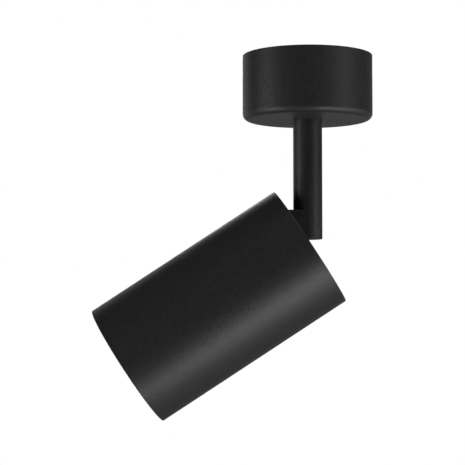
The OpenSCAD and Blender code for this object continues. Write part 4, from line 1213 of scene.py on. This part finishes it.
def swept(points, radius, sides=16, side=(0, 1, 0)):
    bm = bmesh.new()
    chart = bm.loops.layers.uv.new("alongLead")
    turn = bm.verts.layers.float.new("turn")
    reach = bm.verts.layers.float.new("reach")
    points = [Vector(point) for point in points]

    def placeAt(i):
        ahead = (points[min(i + 1, len(points) - 1)] - points[max(i - 1, 0)]).normalized()
        across = Vector(side).cross(ahead).normalized()
        place = Matrix((across, ahead.cross(across), ahead)).transposed().to_4x4()
        place.translation = points[i]
        return place

    ring = bmesh.ops.create_circle(bm, cap_ends=True, segments=sides, radius=radius)["verts"]
    for k, vert in enumerate(ring):
        vert[turn] = k / sides
    bmesh.ops.transform(bm, matrix=placeAt(0), verts=ring)
    cap, length = bm.faces[:][0], 0.0
    for i in range(1, len(points)):
        grown = bmesh.ops.extrude_face_region(bm, geom=[cap])["geom"]
        if i > 1:
            bmesh.ops.delete(bm, geom=[cap], context="FACES_ONLY")
        ring = vertsIn(grown)
        cap = next(g for g in grown if isinstance(g, bmesh.types.BMFace))
        bmesh.ops.transform(bm, matrix=placeAt(i) @ placeAt(i - 1).inverted(), verts=ring)
        length += (points[i] - points[i - 1]).length
        for vert in ring:
            vert[reach] = length
    bmesh.ops.recalc_face_normals(bm, faces=bm.faces)
    for face in bm.faces:
        turns = [loop.vert[turn] for loop in face.loops]
        wraps = max(turns) - min(turns) > 0.5
        for loop in face.loops:
            around = loop.vert[turn]
            loop[chart].uv = (around + 1 if wraps and around < 0.5 else around, loop.vert[reach])
    return pieceFrom(bm)


leadSizes = {"wire": 0.9, "lead": 2.4, "leadTop": -18, "enter": -14, "row": 0.7, "spread": 1.2,
             "earthRow": -1.35, "poleFront": (6.958, -6), "poleEase": 6.8, "poleRise": 6.24, "straight": 4,
             "bondMiddle": (-2.5, -0.271, -4.3), "crimp": (1.05, -7.5, -4.7), "crimpStart": 2.5,
             "earthRise": 7.254, "bendRadius": 5, "exitAt": -12.873, "ease": 8.8, "holderEase": 4,
             "holderSide": (8.75, 4.75), "earthEase": 8, "lugEnd": (6.2, 17.3, 23.0)}


def makeWires():
    s = leadSizes
    front, height = s["poleFront"]
    straight, crimpStart = Vector((0, s["straight"], 0)), Vector((0, s["crimpStart"], 0))
    for node, side in (("live_wire", -1), ("neutral_wire", 1)):
        leave = Vector((side * terminalSizes["poles"][-1], front, height))
        enter = Vector((side * s["spread"], s["row"], s["enter"]))
        outwards, upwards = Vector((0, s["poleEase"], 0)), Vector((0, 0, s["poleRise"]))
        route = [leave + straight] + bezier(leave, leave - outwards, enter + upwards, enter)
        route.append((enter.x, enter.y, s["leadTop"]))
        addPiece(swept(route, s["wire"], side=(1, 0.3, 0)), node)
    leave, enter = Vector(s["crimp"]), Vector((0, s["earthRow"], s["enter"]))
    route = [leave - crimpStart]
    route += bezier(leave, (leave.x, enter.y, leave.z), enter + Vector((0, 0, s["earthRise"])), enter)
    route.append((0, s["earthRow"], s["leadTop"]))
    addPiece(swept(route, s["wire"], side=(1, 0, 0)), "earth_wire")
    leave, middle, enter = Vector((0, front, height)), Vector(s["bondMiddle"]), Vector(s["crimp"])
    enter.x = -enter.x
    ease = Vector((0, (front - enter.y) / 6, 0))
    route = [leave + straight] + bezier(leave, leave - ease, middle + ease, middle, 10)
    route += bezier(middle, middle - ease, enter + ease, enter, 10)[1:] + [enter - crimpStart]
    addPiece(swept(route, s["wire"], side=(1, 0, 0)), "earth_bond_wire")


def makeLeads():
    s = leadSizes
    bend, exitAt, low, axis = s["bendRadius"], s["exitAt"], cornersOf("stem_arm")[0].z, pivot.z / mm
    route = [(0, 0, z) for z in range(int(s["leadTop"]), int(axis + bend), -3)]
    turns = arc((-bend, axis + bend), bend, 0, -90, 10) + arc((exitAt + bend, axis - bend), bend, 90, 180, 10)
    route += [(x, 0, z) for x, z in turns] + [(exitAt, 0, low)]
    addPiece(swept(route, s["lead"], 32), "stem_lead")
    start, end = Vector((exitAt, 0, low)), barrelPlace @ (Vector(leadEnd) * mm) / mm
    route = bezier(start, start - Vector((0, 0, s["ease"])), end - barrelAxis * s["ease"], end, 40)
    flexLead = swept(route, s["lead"], 32)
    addPiece(flexLead, "flex_lead", rides=False)
    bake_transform(flexLead)
    (x, y), ease = s["holderSide"], s["holderEase"]
    ends = [(node, (-s["row"], side * s["spread"]), (x, side * y, leadEnd[2] + ease), ease, 20, (0, 1, 0.2))
            for node, side in (("live_lead", -1), ("neutral_lead", 1))]
    ends.append(("earth_lead", (-s["earthRow"], 0), s["lugEnd"], s["earthEase"], 24, (0, 1, 0)))
    for node, offset, end, ease, steps, side in ends:  # they leave the sleeve along the barrel
        start, end = Vector(leadEnd) + Vector((*offset, 0)), Vector(end)
        route = bezier(start, start + Vector((0, 0, ease)), end + Vector((ease, 0, 0)), end, steps)
        addPiece(swept(route, s["wire"], side=side), node, barrelMilli)


makeWires()
makeLeads()
print("leads made")
